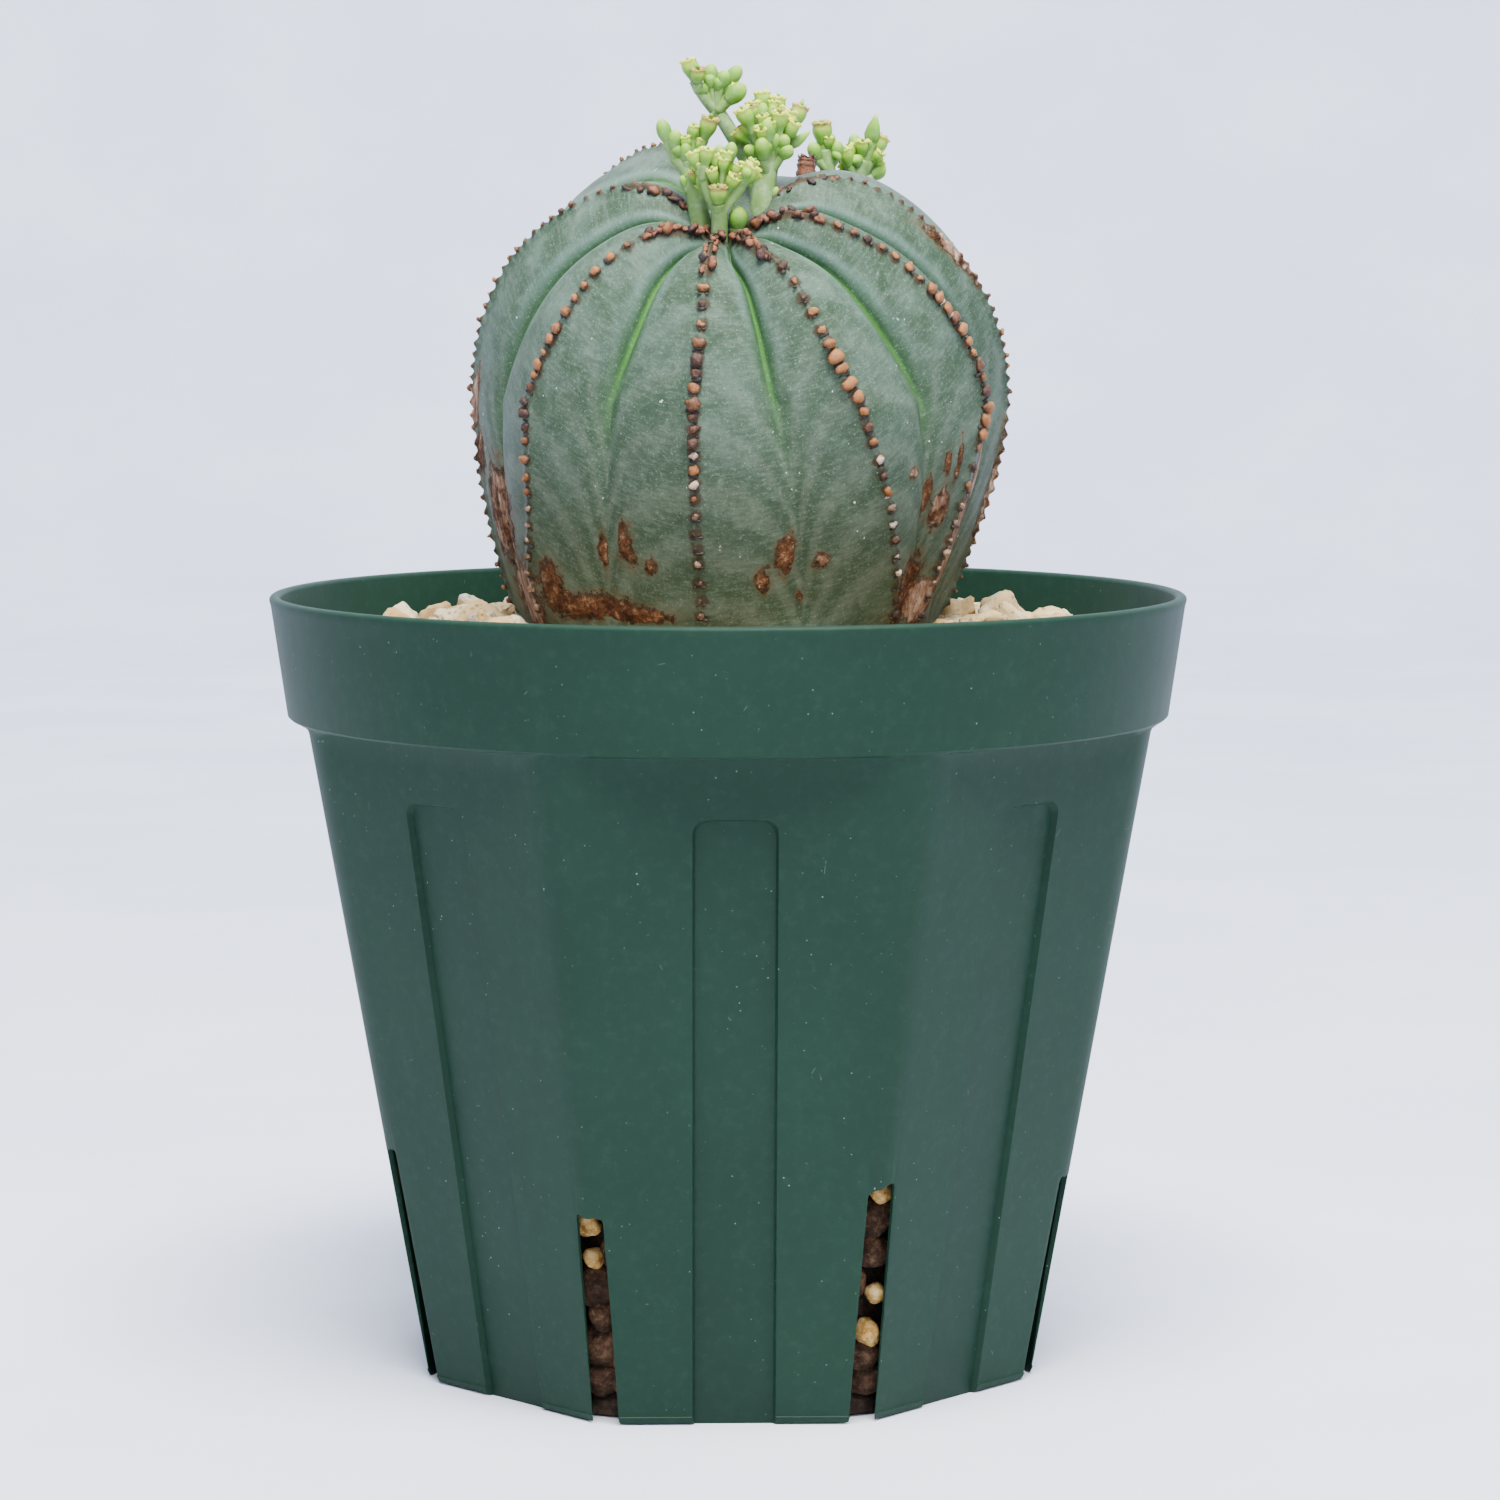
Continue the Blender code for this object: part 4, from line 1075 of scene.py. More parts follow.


# each cork's dark, warm and tan tones, and the strength of the painted highlight on its tops
CORKS = {
    "crest_nubs": ((0.022, 0.007, 0.003), (0.115, 0.034, 0.008), (0.27, 0.098, 0.024), 0.50),
    "worn_nubs": ((0.020, 0.010, 0.006), (0.095, 0.048, 0.028), (0.34, 0.240, 0.170), 0.30),
    "crown_stumps": ((0.012, 0.003, 0.002), (0.066, 0.014, 0.004), (0.19, 0.056, 0.018), 0.12),
    # near-black bodies that are painted shade for the slot below each nub
    "nub_slots": ((0.006, 0.004, 0.003), (0.014, 0.008, 0.005), (0.030, 0.016, 0.009), 0.0),
}
corks = {name: cork_finish(f"{name}_cork", *colors) for name, colors in CORKS.items()}
print("cork finishes:", ", ".join(corks))

# %% Scattering the nubs
CROWN_LENGTH, WORN_BELOW = 10.0, 100.5
draw = random.Random(14)
groups = {name: [] for name in CORKS}


def add_nub(group, place, up, ahead, size, lift, spread):
    """One nub: its three half sizes are along the crest, across it and outwards."""
    body = [size * draw.uniform(low, high) for low, high in spread]
    tilt = 0.8 if group == "crown_stumps" else 0.0
    turn = turn_to(up, ahead)
    turn = (turn[0] + draw.uniform(-tilt, tilt), turn[1] + draw.uniform(-tilt, tilt), turn[2])
    groups[group].append((place + up * lift, body, turn))


for place, normal, ahead, size, rib, s in nubs:
    up, ahead = normal / np.linalg.norm(normal), ahead / np.linalg.norm(ahead)
    if s < CROWN_LENGTH:
        beside = np.cross(up, ahead) * draw.uniform(-0.65, 0.65)
        add_nub("crown_stumps", place + beside, up, ahead, size, 0.30 + size * 0.65,
                ((0.9, 1.8), (0.6, 1.2), (0.5, 1.1)))
    elif rib in FINE_RIBS:
        add_nub("crest_nubs", place, up, ahead, size, 0.42 + size * TOOTH,
                ((0.35, 0.55), (0.40, 0.62), (0.40, 0.60)))
    else:
        worn = place[2] < WORN_BELOW
        add_nub("worn_nubs" if worn else "crest_nubs", place, up, ahead, size,
                0.40 + size * 0.62, ((0.70, 1.0), (0.80, 1.25), (0.55, 0.75)))
        # a thin near-black body below the nub: painted shade for the slot between it and the next
        add_nub("nub_slots", place + ahead * (size * 0.95 + 0.12), up, ahead, size, 0.60,
                ((0.25, 0.35), (1.6, 2.3) if worn else (0.9, 1.2), (0.25, 0.35)))
for name, made in groups.items():
    spots, sizes, turns = zip(*made)
    keep(scatter(name, spots, sizes, turns, "button", corks[name], Lump_size=0.0007,
                 Lump_push=0.00050, Grain_size=0.0004, Grain_push=0.00026))

# %% [markdown]
# ## The flower stalks
#
# Several pale stalks stand in the growing points. Each forks into buds and into small flower cups
# with a frilled yellow rim. A stalk is a list of limbs, and each limb a few points with a radius,
# so its tube is a smooth curve through those points. A bud swells and closes in five pleats. A cup
# opens into a toothed rim with five round glands on it and a knob in the middle. The thick of each
# cluster is a crowd of such heads over a small dome. `tone` is stored on every point, 0 on the
# stem and 1 on the rim, and `brown` marks the heads that are going over.

# %% The stalks' limbs
SPRAYS = {
    "left_stalk": ("spray_left", (
        ("stem", (-2.3, -16.5, 127.6, 1.20), (-3.1, -16.0, 132.6, 1.05), (-4.1, -15.5, 136.2, 0.90),
         (-5.8, -15.2, 137.9, 0.60)),
        ("bud", (-5.7, -15.2, 137.5, 0.45), (-6.3, -15.1, 139.2, 0.50), (-7.2, -15.0, 142.0, 0.80)),
        ("bud", (-5.6, -15.4, 137.6, 0.45), (-5.7, -15.8, 138.7, 0.50), (-5.4, -16.0, 140.8, 0.75)),
        ("bud", (-3.9, -15.6, 135.6, 0.50), (-4.3, -16.0, 137.3, 0.50), (-4.4, -16.2, 139.5, 0.65)),
        ("bud", (-3.9, -15.2, 135.8, 0.55), (-3.6, -14.8, 138.6, 0.50), (-3.5, -14.6, 141.7, 0.75)),
        ("brown_cup", (-3.6, -14.9, 138.0, 0.50), (-2.5, -14.6, 139.5, 0.55),
         (-1.7, -15.0, 142.0, 0.95)),
        ("bud", (-3.7, -16.0, 133.6, 0.40), (-4.3, -16.2, 134.3, 0.35), (-4.8, -16.2, 135.8, 0.45)),
    )),
    "middle_stalk": ("spray_centre", (
        ("stem", (-0.7, -18.2, 127.0, 0.95), (-0.6, -18.8, 130.9, 0.85), (-0.7, -19.3, 132.5, 0.80)),
        ("brown_cup", (-0.7, -19.2, 131.8, 0.70), (-0.7, -19.6, 132.6, 0.80),
         (-0.7, -20.0, 134.4, 1.00)),
        ("stem", (-0.7, -19.0, 131.6, 0.60), (-1.7, -19.0, 133.5, 0.60), (-2.4, -19.0, 135.7, 0.60)),
        ("cup", (-2.4, -19.0, 135.3, 0.50), (-2.8, -19.0, 136.3, 0.50), (-3.5, -19.0, 138.1, 0.75)),
        ("cup", (-2.4, -19.2, 135.2, 0.50), (-2.2, -19.6, 136.5, 0.50), (-1.9, -19.9, 138.5, 0.75)),
        ("stem", (-0.6, -18.6, 131.8, 0.60), (-0.1, -17.9, 134.2, 0.60), (0.1, -17.6, 136.6, 0.60)),
        ("bud", (0.1, -17.6, 135.9, 0.45), (-0.3, -17.6, 137.0, 0.50), (-0.7, -17.5, 139.1, 0.70)),
        ("bud", (0.1, -17.6, 135.9, 0.45), (0.4, -17.6, 137.2, 0.50), (0.8, -17.6, 139.4, 0.70)),
        ("cup", (-0.4, -18.8, 131.6, 0.55), (1.2, -19.0, 133.8, 0.65), (3.1, -19.4, 136.6, 0.90)),
    )),
    "short_bud": ("bud_short", (
        ("bud", (1.5, -17.4, 127.0, 0.80), (1.4, -18.0, 129.8, 0.85), (1.5, -18.4, 132.4, 1.00)),
    )),
    "right_stalk": ("spray_right", (
        ("stem", (3.6, -15.0, 127.8, 1.40), (4.1, -14.0, 133.5, 1.25), (4.8, -13.2, 137.6, 1.10)),
        ("cup", (4.5, -13.4, 136.7, 0.60), (3.5, -13.9, 139.8, 0.65), (1.8, -14.6, 143.0, 0.90)),
        ("cup", (4.4, -13.0, 136.9, 0.50), (3.4, -12.6, 140.3, 0.55), (3.0, -12.4, 143.8, 0.85)),
        ("bud", (4.6, -14.0, 135.6, 0.50), (4.1, -15.0, 137.5, 0.55), (4.0, -15.6, 140.0, 0.85)),
        ("cup", (4.7, -12.8, 136.9, 0.60), (4.4, -11.6, 140.9, 0.60), (4.0, -11.0, 144.9, 0.90)),
        ("cup", (4.9, -12.8, 136.9, 0.60), (5.3, -12.0, 140.9, 0.60), (5.7, -11.4, 144.3, 0.90)),
        ("bud", (4.8, -13.6, 136.7, 0.50), (4.7, -14.6, 139.4, 0.55), (4.6, -15.2, 142.0, 0.85)),
        ("cup", (5.0, -13.6, 136.9, 0.50), (5.8, -14.2, 139.7, 0.55), (6.0, -14.8, 142.6, 0.85)),
        ("cup", (5.0, -13.0, 136.9, 0.50), (6.4, -12.6, 139.8, 0.60), (7.1, -12.4, 142.8, 0.85)),
        ("brown_cup", (5.0, -12.6, 136.7, 0.50), (6.9, -11.0, 139.6, 0.60), (8.2, -10.2, 143.4, 0.90)),
        ("bract", (5.0, -13.2, 136.7, 0.50), (6.9, -12.6, 138.9, 0.55), (9.4, -12.0, 140.8, 0.50)),
        ("bract", (5.0, -12.2, 136.7, 0.50), (7.1, -9.4, 140.5, 0.55), (8.6, -8.6, 144.6, 0.50)),
        ("bud", (4.4, -14.4, 131.9, 0.40), (5.1, -14.4, 132.8, 0.35), (5.7, -14.3, 134.6, 0.45)),
        ("stem", (4.0, -13.6, 131.9, 0.90), (2.7, -12.0, 136.7, 0.85), (0.2, -11.4, 141.2, 0.80),
         (-1.1, -11.2, 143.1, 0.80)),
        ("stem", (-1.0, -11.2, 142.7, 0.60), (-2.2, -11.2, 144.2, 0.60), (-3.1, -11.2, 145.6, 0.65)),
        ("cup", (-3.0, -11.2, 145.1, 0.55), (-3.4, -11.2, 146.2, 0.65), (-4.2, -11.2, 148.5, 0.90)),
        ("brown_cup", (-3.0, -11.6, 145.1, 0.50), (-3.1, -12.0, 146.0, 0.55),
         (-3.1, -12.4, 147.5, 0.80)),
        ("bud", (-1.3, -11.0, 142.9, 0.50), (-1.7, -10.8, 144.8, 0.55), (-1.7, -10.6, 148.3, 0.80)),
        ("bud", (-1.1, -11.0, 142.9, 0.50), (-0.6, -10.8, 145.1, 0.55), (1.6, -10.6, 148.0, 0.80)),
        ("brown_bud", (-1.0, -11.6, 142.8, 0.55), (0.1, -11.8, 144.0, 0.60), (2.1, -12.0, 145.9, 1.00)),
    )),
    "back_left_stalk": ("spray_back_left", (
        ("stem", (12.2, 14.0, 131.0, 1.00), (11.4, 14.0, 137.2, 0.90), (11.0, 14.0, 139.5, 0.80)),
        ("brown_cup", (11.1, 14.0, 138.8, 0.60), (10.9, 14.0, 140.0, 0.70), (10.7, 14.0, 142.5, 1.10)),
        ("bud", (11.4, 14.0, 137.0, 0.50), (12.3, 14.0, 138.4, 0.50), (12.6, 14.0, 140.6, 0.80)),
        ("bud", (11.4, 13.6, 137.0, 0.50), (10.2, 13.2, 138.3, 0.50), (9.5, 13.0, 140.4, 0.80)),
    )),
    "back_right_stalk": ("spray_back_right", (
        ("stem", (14.3, 17.0, 129.6, 1.00), (14.9, 17.0, 136.1, 0.95), (15.7, 17.0, 138.4, 0.80)),
        ("bract", (15.6, 17.0, 137.7, 0.60), (16.4, 17.0, 140.3, 0.80), (17.1, 17.0, 143.8, 0.80)),
        ("brown_cup", (15.6, 17.2, 137.5, 0.55), (16.6, 17.6, 138.9, 0.60), (17.7, 18.0, 141.0, 1.00)),
        ("bud", (15.1, 17.0, 135.9, 0.50), (16.6, 17.5, 136.4, 0.60), (18.1, 18.0, 137.8, 0.90)),
        ("cup", (14.9, 16.8, 135.6, 0.50), (14.0, 16.2, 137.5, 0.60), (13.4, 15.9, 139.6, 0.90)),
        ("bud", (15.2, 17.6, 137.1, 0.50), (14.9, 18.2, 139.1, 0.50), (14.4, 18.6, 141.5, 0.80)),
    )),
}
# crowds of small heads: where they branch, the middle of their dome, its half sizes, how many,
# and how many of ten are open cups
CROWDS = {
    "left_stalk": (((-3.8, -15.5, 136.0), (-4.0, -15.6, 139.3), (2.5, 0.9, 1.9), 7, 2),
                   ((-3.7, -15.5, 133.2), (-3.4, -16.2, 136.4), (1.2, 0.7, 0.9), 3, 3)),
    "middle_stalk": (((-0.6, -18.7, 131.8), (-0.6, -18.9, 136.4), (3.0, 1.6, 2.0), 12, 6),
                     ((1.2, -19.0, 133.8), (2.6, -19.3, 136.3), (1.2, 1.0, 1.0), 5, 7)),
    "right_stalk": (((4.9, -13.3, 136.6), (4.6, -12.9, 141.7), (3.7, 2.6, 2.4), 20, 8),
                    ((4.8, -13.6, 135.8), (4.9, -14.6, 139.3), (3.2, 1.0, 1.5), 7, 4),
                    ((-1.2, -11.2, 143.0), (-1.0, -11.3, 146.0), (2.9, 0.9, 1.8), 7, 2)),
    "back_left_stalk": (((11.3, 14.0, 137.2), (11.2, 14.0, 140.3), (1.8, 1.0, 1.6), 6, 4),),
    "back_right_stalk": (((15.3, 17.1, 136.2), (15.7, 17.1, 139.3), (2.5, 1.5, 2.2), 10, 4),),
}
print("limbs:", sum(len(limbs) for _, limbs in SPRAYS.values()))

# %% Curves through a limb's points
ROUND = 16


def through(points, samples):
    """A smooth curve through points of x, y, z and radius, by the Catmull-Rom rule."""
    p = np.array(points)
    p = np.vstack([2 * p[0] - p[1], p, 2 * p[-1] - p[-2]])
    rows = []
    for k in range(1, len(p) - 2):
        for t in np.linspace(0, 1, samples, endpoint=False):
            a, b, c, d = p[k - 1:k + 3]
            rows.append(0.5 * (2 * b + (c - a) * t + (2 * a - 5 * b + 4 * c - d) * t * t
                               + (3 * b - a - 3 * c + d) * t ** 3))
    return np.array(rows + [p[-2]])


def frames(line):
    """Unit vectors along, beside and across a line."""
    ahead = np.gradient(line, axis=0)
    ahead /= np.linalg.norm(ahead, axis=1, keepdims=True)
    side = np.cross(ahead, (0.31, 0.95, 0.05))
    side /= np.linalg.norm(side, axis=1, keepdims=True)
    return ahead, side, np.cross(ahead, side)


def tube(line, radii, pleats=None, flat=1.0):
    """Rings round a line. Pleats is a share for each ring of how deeply five folds cut it."""
    _, side, other = frames(line)
    turn = around(ROUND)
    fold = 1.0 if pleats is None else 1 + np.outer(pleats, np.cos(5 * turn))
    wide = np.asarray(radii)[:, None] * fold
    return (line[:, None, :] + side[:, None, :] * (wide * np.cos(turn))[..., None]
            + other[:, None, :] * (wide * np.sin(turn) * flat)[..., None])


print("tubes have", ROUND, "sides")


# %% Stems, buds, bracts and cups
BUD = ((0.0, 0.62), (0.12, 0.76), (0.28, 0.96), (0.48, 1.06), (0.66, 1.0), (0.80, 0.82),
       (0.90, 0.60), (0.96, 0.38), (1.0, 0.12))
BRACT = ((0.0, 0.8), (0.3, 1.25), (0.6, 0.95), (0.85, 0.45), (1.0, 0.08))
CUP = ((0.0, 0.55), (0.16, 0.64), (0.36, 0.86), (0.58, 1.02), (0.78, 1.04), (0.92, 0.96))
HEAD_LENGTHS = {"bud": 3.3, "bract": 6.0, "cup": 2.5}


def head_line(kind, points, profile):
    """The head takes the end of its limb, a few of its own radii long."""
    start, tip = np.array(points[-2][:3]), np.array(points[-1][:3])
    reach = np.linalg.norm(tip - start)
    start = tip - (tip - start) * min(1.0, HEAD_LENGTHS[kind] * points[-1][3] / reach)
    shares = np.array([t for t, _ in profile])[:, None]
    return start + (tip - start) * shares, points[-1][3] * np.array([w for _, w in profile])


def limb_rings(kind, points):
    """Rings, flatter for a bract, and the tone of each ring, for one limb."""
    if kind == "stem":
        path = through(points, 7)
        return tube(path[:, :3], path[:, 3] * 1.05), np.linspace(0.0, 0.12, len(path))
    profile = {"bud": BUD, "bract": BRACT, "cup": CUP}[kind]
    line, radii = head_line(kind, points, profile)
    neck = through((*points[:-1], (*line[0], points[-2][3])), 4)[:-1]
    line, radii = np.vstack([neck[:, :3], line]), np.append(neck[:, 3], radii)
    share = np.clip((np.arange(len(line)) - len(neck)) / (len(profile) - 1), 0.0, 1.0)
    pleats = 0.085 * smoothstep((share - 0.25) / 0.5) if kind != "bract" else None
    return tube(line, radii, pleats, 0.5 if kind == "bract" else 1.0), 0.15 + 0.55 * share


print("a bud is", len(BUD), "rings")


# %% The frill and the knobs of a cup
# rings of the frill in radii of the cup: width, lift, depth of the teeth, and the ring's tone
FRILL = ((1.02, -0.10, 0.06, 0.8), (1.10, 0.08, 0.26, 1.0), (0.95, 0.05, 0.10, 1.0),
         (0.74, -0.10, 0.0, 0.75), (0.40, -0.25, 0.0, 0.6))


def cup_rim(points, draw):
    """A frilled rim that turns over into the bowl."""
    tip, below = np.array(points[-1][:3]), np.array(points[-2][:3])
    ahead = (tip - below) / np.linalg.norm(tip - below)
    line = np.array([tip - ahead * 0.1, tip, tip + ahead * 0.1])
    _, side, other = (v[1] for v in frames(line))
    radius, turn = points[-1][3], around(ROUND)
    teeth = np.where(np.arange(ROUND) % 2 == 0, 1.0, 0.0)
    rings = []
    for wide, lift, tooth, _ in FRILL:
        reach = radius * (wide + tooth * 0.55 * teeth * draw.uniform(0.8, 1.2))
        rise = radius * (lift + tooth * teeth * draw.uniform(0.5, 1.2))
        rings.append(tip + side * (reach * np.cos(turn))[:, None]
                     + other * (reach * np.sin(turn))[:, None] + ahead * rise[:, None])
    return np.array(rings), ahead, side, other, radius


def knobs(points, ahead, side, other, radius, draw):
    """Five round glands on the rim and the knob in the middle, as centre, radius and tone."""
    tip = np.array(points[-1][:3])
    balls = [(tip + ahead * radius * draw.uniform(0.1, 0.5), radius * 0.30, 0.35)]
    for k in range(5):
        a = k * 2 * math.pi / 5 + draw.uniform(-0.2, 0.2)
        reach = radius * draw.uniform(0.72, 0.86)
        centre = (tip + side * reach * math.cos(a) + other * reach * math.sin(a)
                  + ahead * radius * draw.uniform(0.02, 0.22))
        balls.append((centre, radius * draw.uniform(0.28, 0.40), draw.uniform(0.75, 1.0)))
    return balls


print("cups have a frill of", ROUND // 2, "teeth")


# %% Joining a stalk's limbs
GOLDEN_ANGLE = 2.39996


class Sheaf:
    """Gathers rings and balls into one mesh with its stored values."""

    def __init__(self):
        self.points, self.faces, self.tone, self.brown = [], [], [], []

    def add(self, rings, tones, brown):
        first = len(self.points)
        self.faces += ring_faces(len(rings), rings.shape[1], first)
        self.points += [tuple(p) for p in rings.reshape(-1, 3)]
        self.tone += list(np.repeat(tones, rings.shape[1]))
        self.brown += [brown] * (rings.shape[0] * rings.shape[1])

    def add_ball(self, centre, radius, tone, brown):
        ball = bmesh.new()
        bmesh.ops.create_icosphere(ball, subdivisions=1, radius=radius)
        first = len(self.points)
        self.points += [tuple(centre + np.array(v.co)) for v in ball.verts]
        self.faces += [tuple(first + v.index for v in face.verts) for face in ball.faces]
        self.tone += [tone] * len(ball.verts)
        self.brown += [brown] * len(ball.verts)
        ball.free()


def add_limb(sheaf, kind, points, draw):
    brown = draw.uniform(0.7, 1.0) if kind.startswith("brown_") else draw.uniform(0.0, 0.35)
    kind = kind.removeprefix("brown_")
    rings, tones = limb_rings(kind, points)
    if kind != "cup":
        sheaf.add(rings, tones, brown)
        return
    rim, ahead, side, other, radius = cup_rim(points, draw)
    sheaf.add(np.vstack([rings, rim]), np.append(tones, [row[3] for row in FRILL]), brown)
    for centre, size, tone in knobs(points, ahead, side, other, radius, draw):
        sheaf.add_ball(centre, size, tone, brown)


def add_crowd(sheaf, base, middle, spread, count, cups, draw):
    """Heads on a dome, each on its own short neck, evenly spaced by the golden angle."""
    for k in range(count):
        share, a = math.sqrt((k + 0.5) / count), k * GOLDEN_ANGLE + draw.uniform(-0.3, 0.3)
        dome = (share * math.cos(a), share * math.sin(a), 1.0 - 1.7 * share ** 2)
        tip = [m + w * d + draw.uniform(-0.25, 0.25) for m, w, d in zip(middle, spread, dome)]
        size = draw.uniform(0.58, 0.80)
        waist = [b + (t - b) * 0.55 + (m - b) * 0.08 for b, t, m in zip(base, tip, middle)]
        kind = "cup" if draw.random() * 10 < cups else "bud"
        kind = "brown_" + kind if draw.random() < 0.15 else kind
        add_limb(sheaf, kind, ((*base, size * 0.6), (*waist, size * 0.55), (*tip, size)), draw)
        if k % 3 == 0:
            out = [b + (t - b) * 0.75 + (t - m) * 0.45 for b, t, m in zip(base, tip, middle)]
            add_limb(sheaf, "bract", ((*base, 0.3), (*waist, 0.36), (*out, 0.34)), draw)


print("limbs can be joined")

# %% [markdown]
# ## The stalks' colour
#
# The stems are a pale, slightly grey green with a waxy bloom, the buds yellower, and the frills a
# clear yellow with rust on the oldest. All of that hangs on `tone`, so one ramp gives the colour,
# and `brown` tints the tips. A little light passes through such thin flesh, so the shader has some
# subsurface scattering.


# %% Finish: flower stalk
def stalk_finish():
    f = Finish("flower_stalk", Specular_IOR_Level=0.4, Subsurface_Weight=0.15,
               Subsurface_Scale=0.0008)
    f.shader.inputs["Subsurface Radius"].default_value = (0.7, 1.0, 0.25)
    tone, brown = f.stored("tone"), f.stored("brown")
    mottle = f.noise(0.8, 4, 0.6)
    color = f.ramp(tone + (mottle - 0.5) * 0.16,
                   ((0.0, (0.105, 0.195, 0.052)), (0.14, (0.150, 0.275, 0.060)),
                    (0.35, (0.105, 0.270, 0.018)), (0.62, (0.28, 0.47, 0.032)),
                    (0.85, (0.56, 0.66, 0.055)), (1.0, (0.68, 0.66, 0.08))))
    wax = f.patchy(1.6, 0.45, 0.72, 4, 0.7) * (1 - f.band(tone, 0.1, 0.5))
    streak = f.band(f.noise(0.5, at=f.drawn_out(0.2)), 0.5, 0.8)
    rust = f.band(brown + (mottle - 0.5) * 0.6, 0.45, 0.9) * f.band(tone, 0.45, 0.85)
    freckle = f.patchy(0.35, 0.66, 0.72, 2) * f.band(tone, 0.6, 0.9)
    color = f.coats(color, (wax * 0.42, (0.36, 0.48, 0.34)), (streak * 0.22, (0.20, 0.36, 0.10)),
                    (rust * 0.8, (0.30, 0.16, 0.07)), (freckle * 0.5, (0.26, 0.20, 0.04)))
    return f.done(color, 0.46 + mottle * 0.15, f.bump(f.noise(0.3, 3), 0.03))


stalk = stalk_finish()
draw = random.Random(4)
for name, (node, limbs) in SPRAYS.items():
    sheaf = Sheaf()
    for kind, *points in limbs:
        add_limb(sheaf, kind, points, draw)
    for crowd in CROWDS.get(name, ()):
        add_crowd(sheaf, *crowd, draw)
    piece = make_object(name, sheaf.points, sheaf.faces, stalk,
                        {"tone": sheaf.tone, "brown": sheaf.brown})
    keep(piece, (node,))

# %% [markdown]
# ## The dead stalk
#
# Behind the front flowers stands the dry stub of an older stalk. It is a short bent tube with a
# ragged, sunken end, in the same cork as the stumps round it.

# %% Making the dead stalk
path = through(((8.8, -1.5, 133.0, 1.20), (8.9, -1.2, 136.9, 1.05), (9.0, -1.0, 138.3, 0.95)), 8)
radii = path[:, 3] * (1 + 0.10 * np.sin(np.arange(len(path)) * 2.1))
rings = tube(path[:, :3], radii, np.full(len(path), 0.10))
rings[-1, :, 2] += 0.35 * np.sin(np.arange(ROUND) * 2.3)
inside = rings[-1:] * 0.5 + rings[-1].mean(axis=0) * 0.5 - UP * 0.8
rings = np.vstack([rings, inside])
count = len(rings) * ROUND
dead = make_object("dead_stalk", rings.reshape(-1, 3), ring_faces(len(rings), ROUND),
                   corks["crown_stumps"],
                   {"top": np.full(count, 0.5), "shade": np.full(count, 0.6)})
keep(dead, ("dried_stalk",))

# %% [markdown]
# ## The stones on top
#
# Pale pumice and other light stones, 1 to 8 mm across, cover the soil and rise a little towards
# the plant. Real gravel has no gaps to the soil, because small stones fill between large ones. So
# three passes throw stones by a seeded draw, large ones first, and keep each where it fits. In
# front they lie a little lower, so that none shows over the rim. A bumpy bed of the same stone
# closes what is left.


# %% Finish: pale stone
def stone_finish():
    f = Finish("pale_stone", Specular_IOR_Level=0.25)
    each = f.cells(6.0)["Color"]
    tint = f.node("ShaderNodeSeparateColor", None, {"Color": each})["Red"]
    color = f.ramp(tint + (f.noise(4.5, 2) - 0.5) * 0.5,
                   ((0.15, (0.42, 0.27, 0.10)), (0.40, (0.52, 0.38, 0.19)),
                    (0.65, (0.60, 0.49, 0.31)), (0.85, (0.40, 0.36, 0.29))))
    # pits are the stone's pores: their dark coat below is painted shade inside them, and they also sink
    # the bump
    pits = 1 - f.band(f.cells(0.8), 0.18, 0.42)
    color = f.coats(color,
                    (f.patchy(1.2, 0.35, 0.75, 5, 0.7) * 0.4, (0.64, 0.52, 0.33)),
                    (pits * f.patchy(2.5, 0.42, 0.6, 2) * 0.65, (0.13, 0.09, 0.045)),
                    (f.patchy(0.3, 0.70, 0.74, 2) * 0.7, (0.06, 0.05, 0.045)))
    height = f.noise(0.9, 5, 0.7) - pits * 0.35
    return f.done(color, 0.88, f.bump(height, 0.22))


stone = stone_finish()
print("stone nodes:", len(stone.node_tree.nodes))

# %% Throwing the stones
BED_INNER_Z, BED_OUTER_Z = 84.6, 81.6
# distances from the pot's axis that are thrown at, and the room a stone leaves to plant and wall
NEAREST, FARTHEST, PLANT_ROOM, WALL_ROOM, CLOSENESS = 24.0, 49.6, 24.2, 50.0, 0.78
# stones with y below the first number and x within the second lie lower by the drop
FRONT_Y, FRONT_X, FRONT_DROP = -18.0, 28.0, 1.1


def bed_height(radius):
    return BED_INNER_Z + (BED_OUTER_Z - BED_INNER_Z) * np.clip((radius - 25.0) / 24.0, 0.0, 1.0)


def throw(count, smallest, largest, lift, draw, placed):
    """Keeps seeded throws that clear the plant, the pot's wall and the stones so far."""
    made, tries = [], 0
    while len(made) < count and tries < 40 * count:
        tries += 1
        half = draw.uniform(smallest, largest)
        a = draw.uniform(0, 2 * math.pi)
        reach = math.sqrt(draw.uniform(NEAREST ** 2, FARTHEST ** 2))
        x, y = reach * math.sin(a), reach * math.cos(a)
        if math.hypot(x - FOOT_X, y - PLANT_Y) < PLANT_ROOM + half or reach > WALL_ROOM - half:
            continue
        if any((x - p[0]) ** 2 + (y - p[1]) ** 2 < (CLOSENESS * (half + p[3])) ** 2
               for p in placed + made):
            continue
        sunk = FRONT_DROP if y < FRONT_Y and abs(x) < FRONT_X else 0.0
        made.append((x, y, float(bed_height(reach)) + lift * half - sunk, half))
    return made


draw = random.Random(6)
# four large stones beside the plant are listed one by one: x, y, height and half width
big = [(31.0, 5.6, 85.2, 4.1), (38.6, 6.5, 84.4, 3.3), (-31.6, 4.6, 84.8, 3.2),
       (-38.2, 6.2, 84.3, 3.0)]
big += throw(70, 2.4, 3.7, 0.20, draw, big)
middling = throw(170, 1.5, 2.3, 0.25, draw, big)
small = throw(420, 0.7, 1.4, 0.55, draw, big + middling)
print("stones:", len(big), len(middling), len(small))

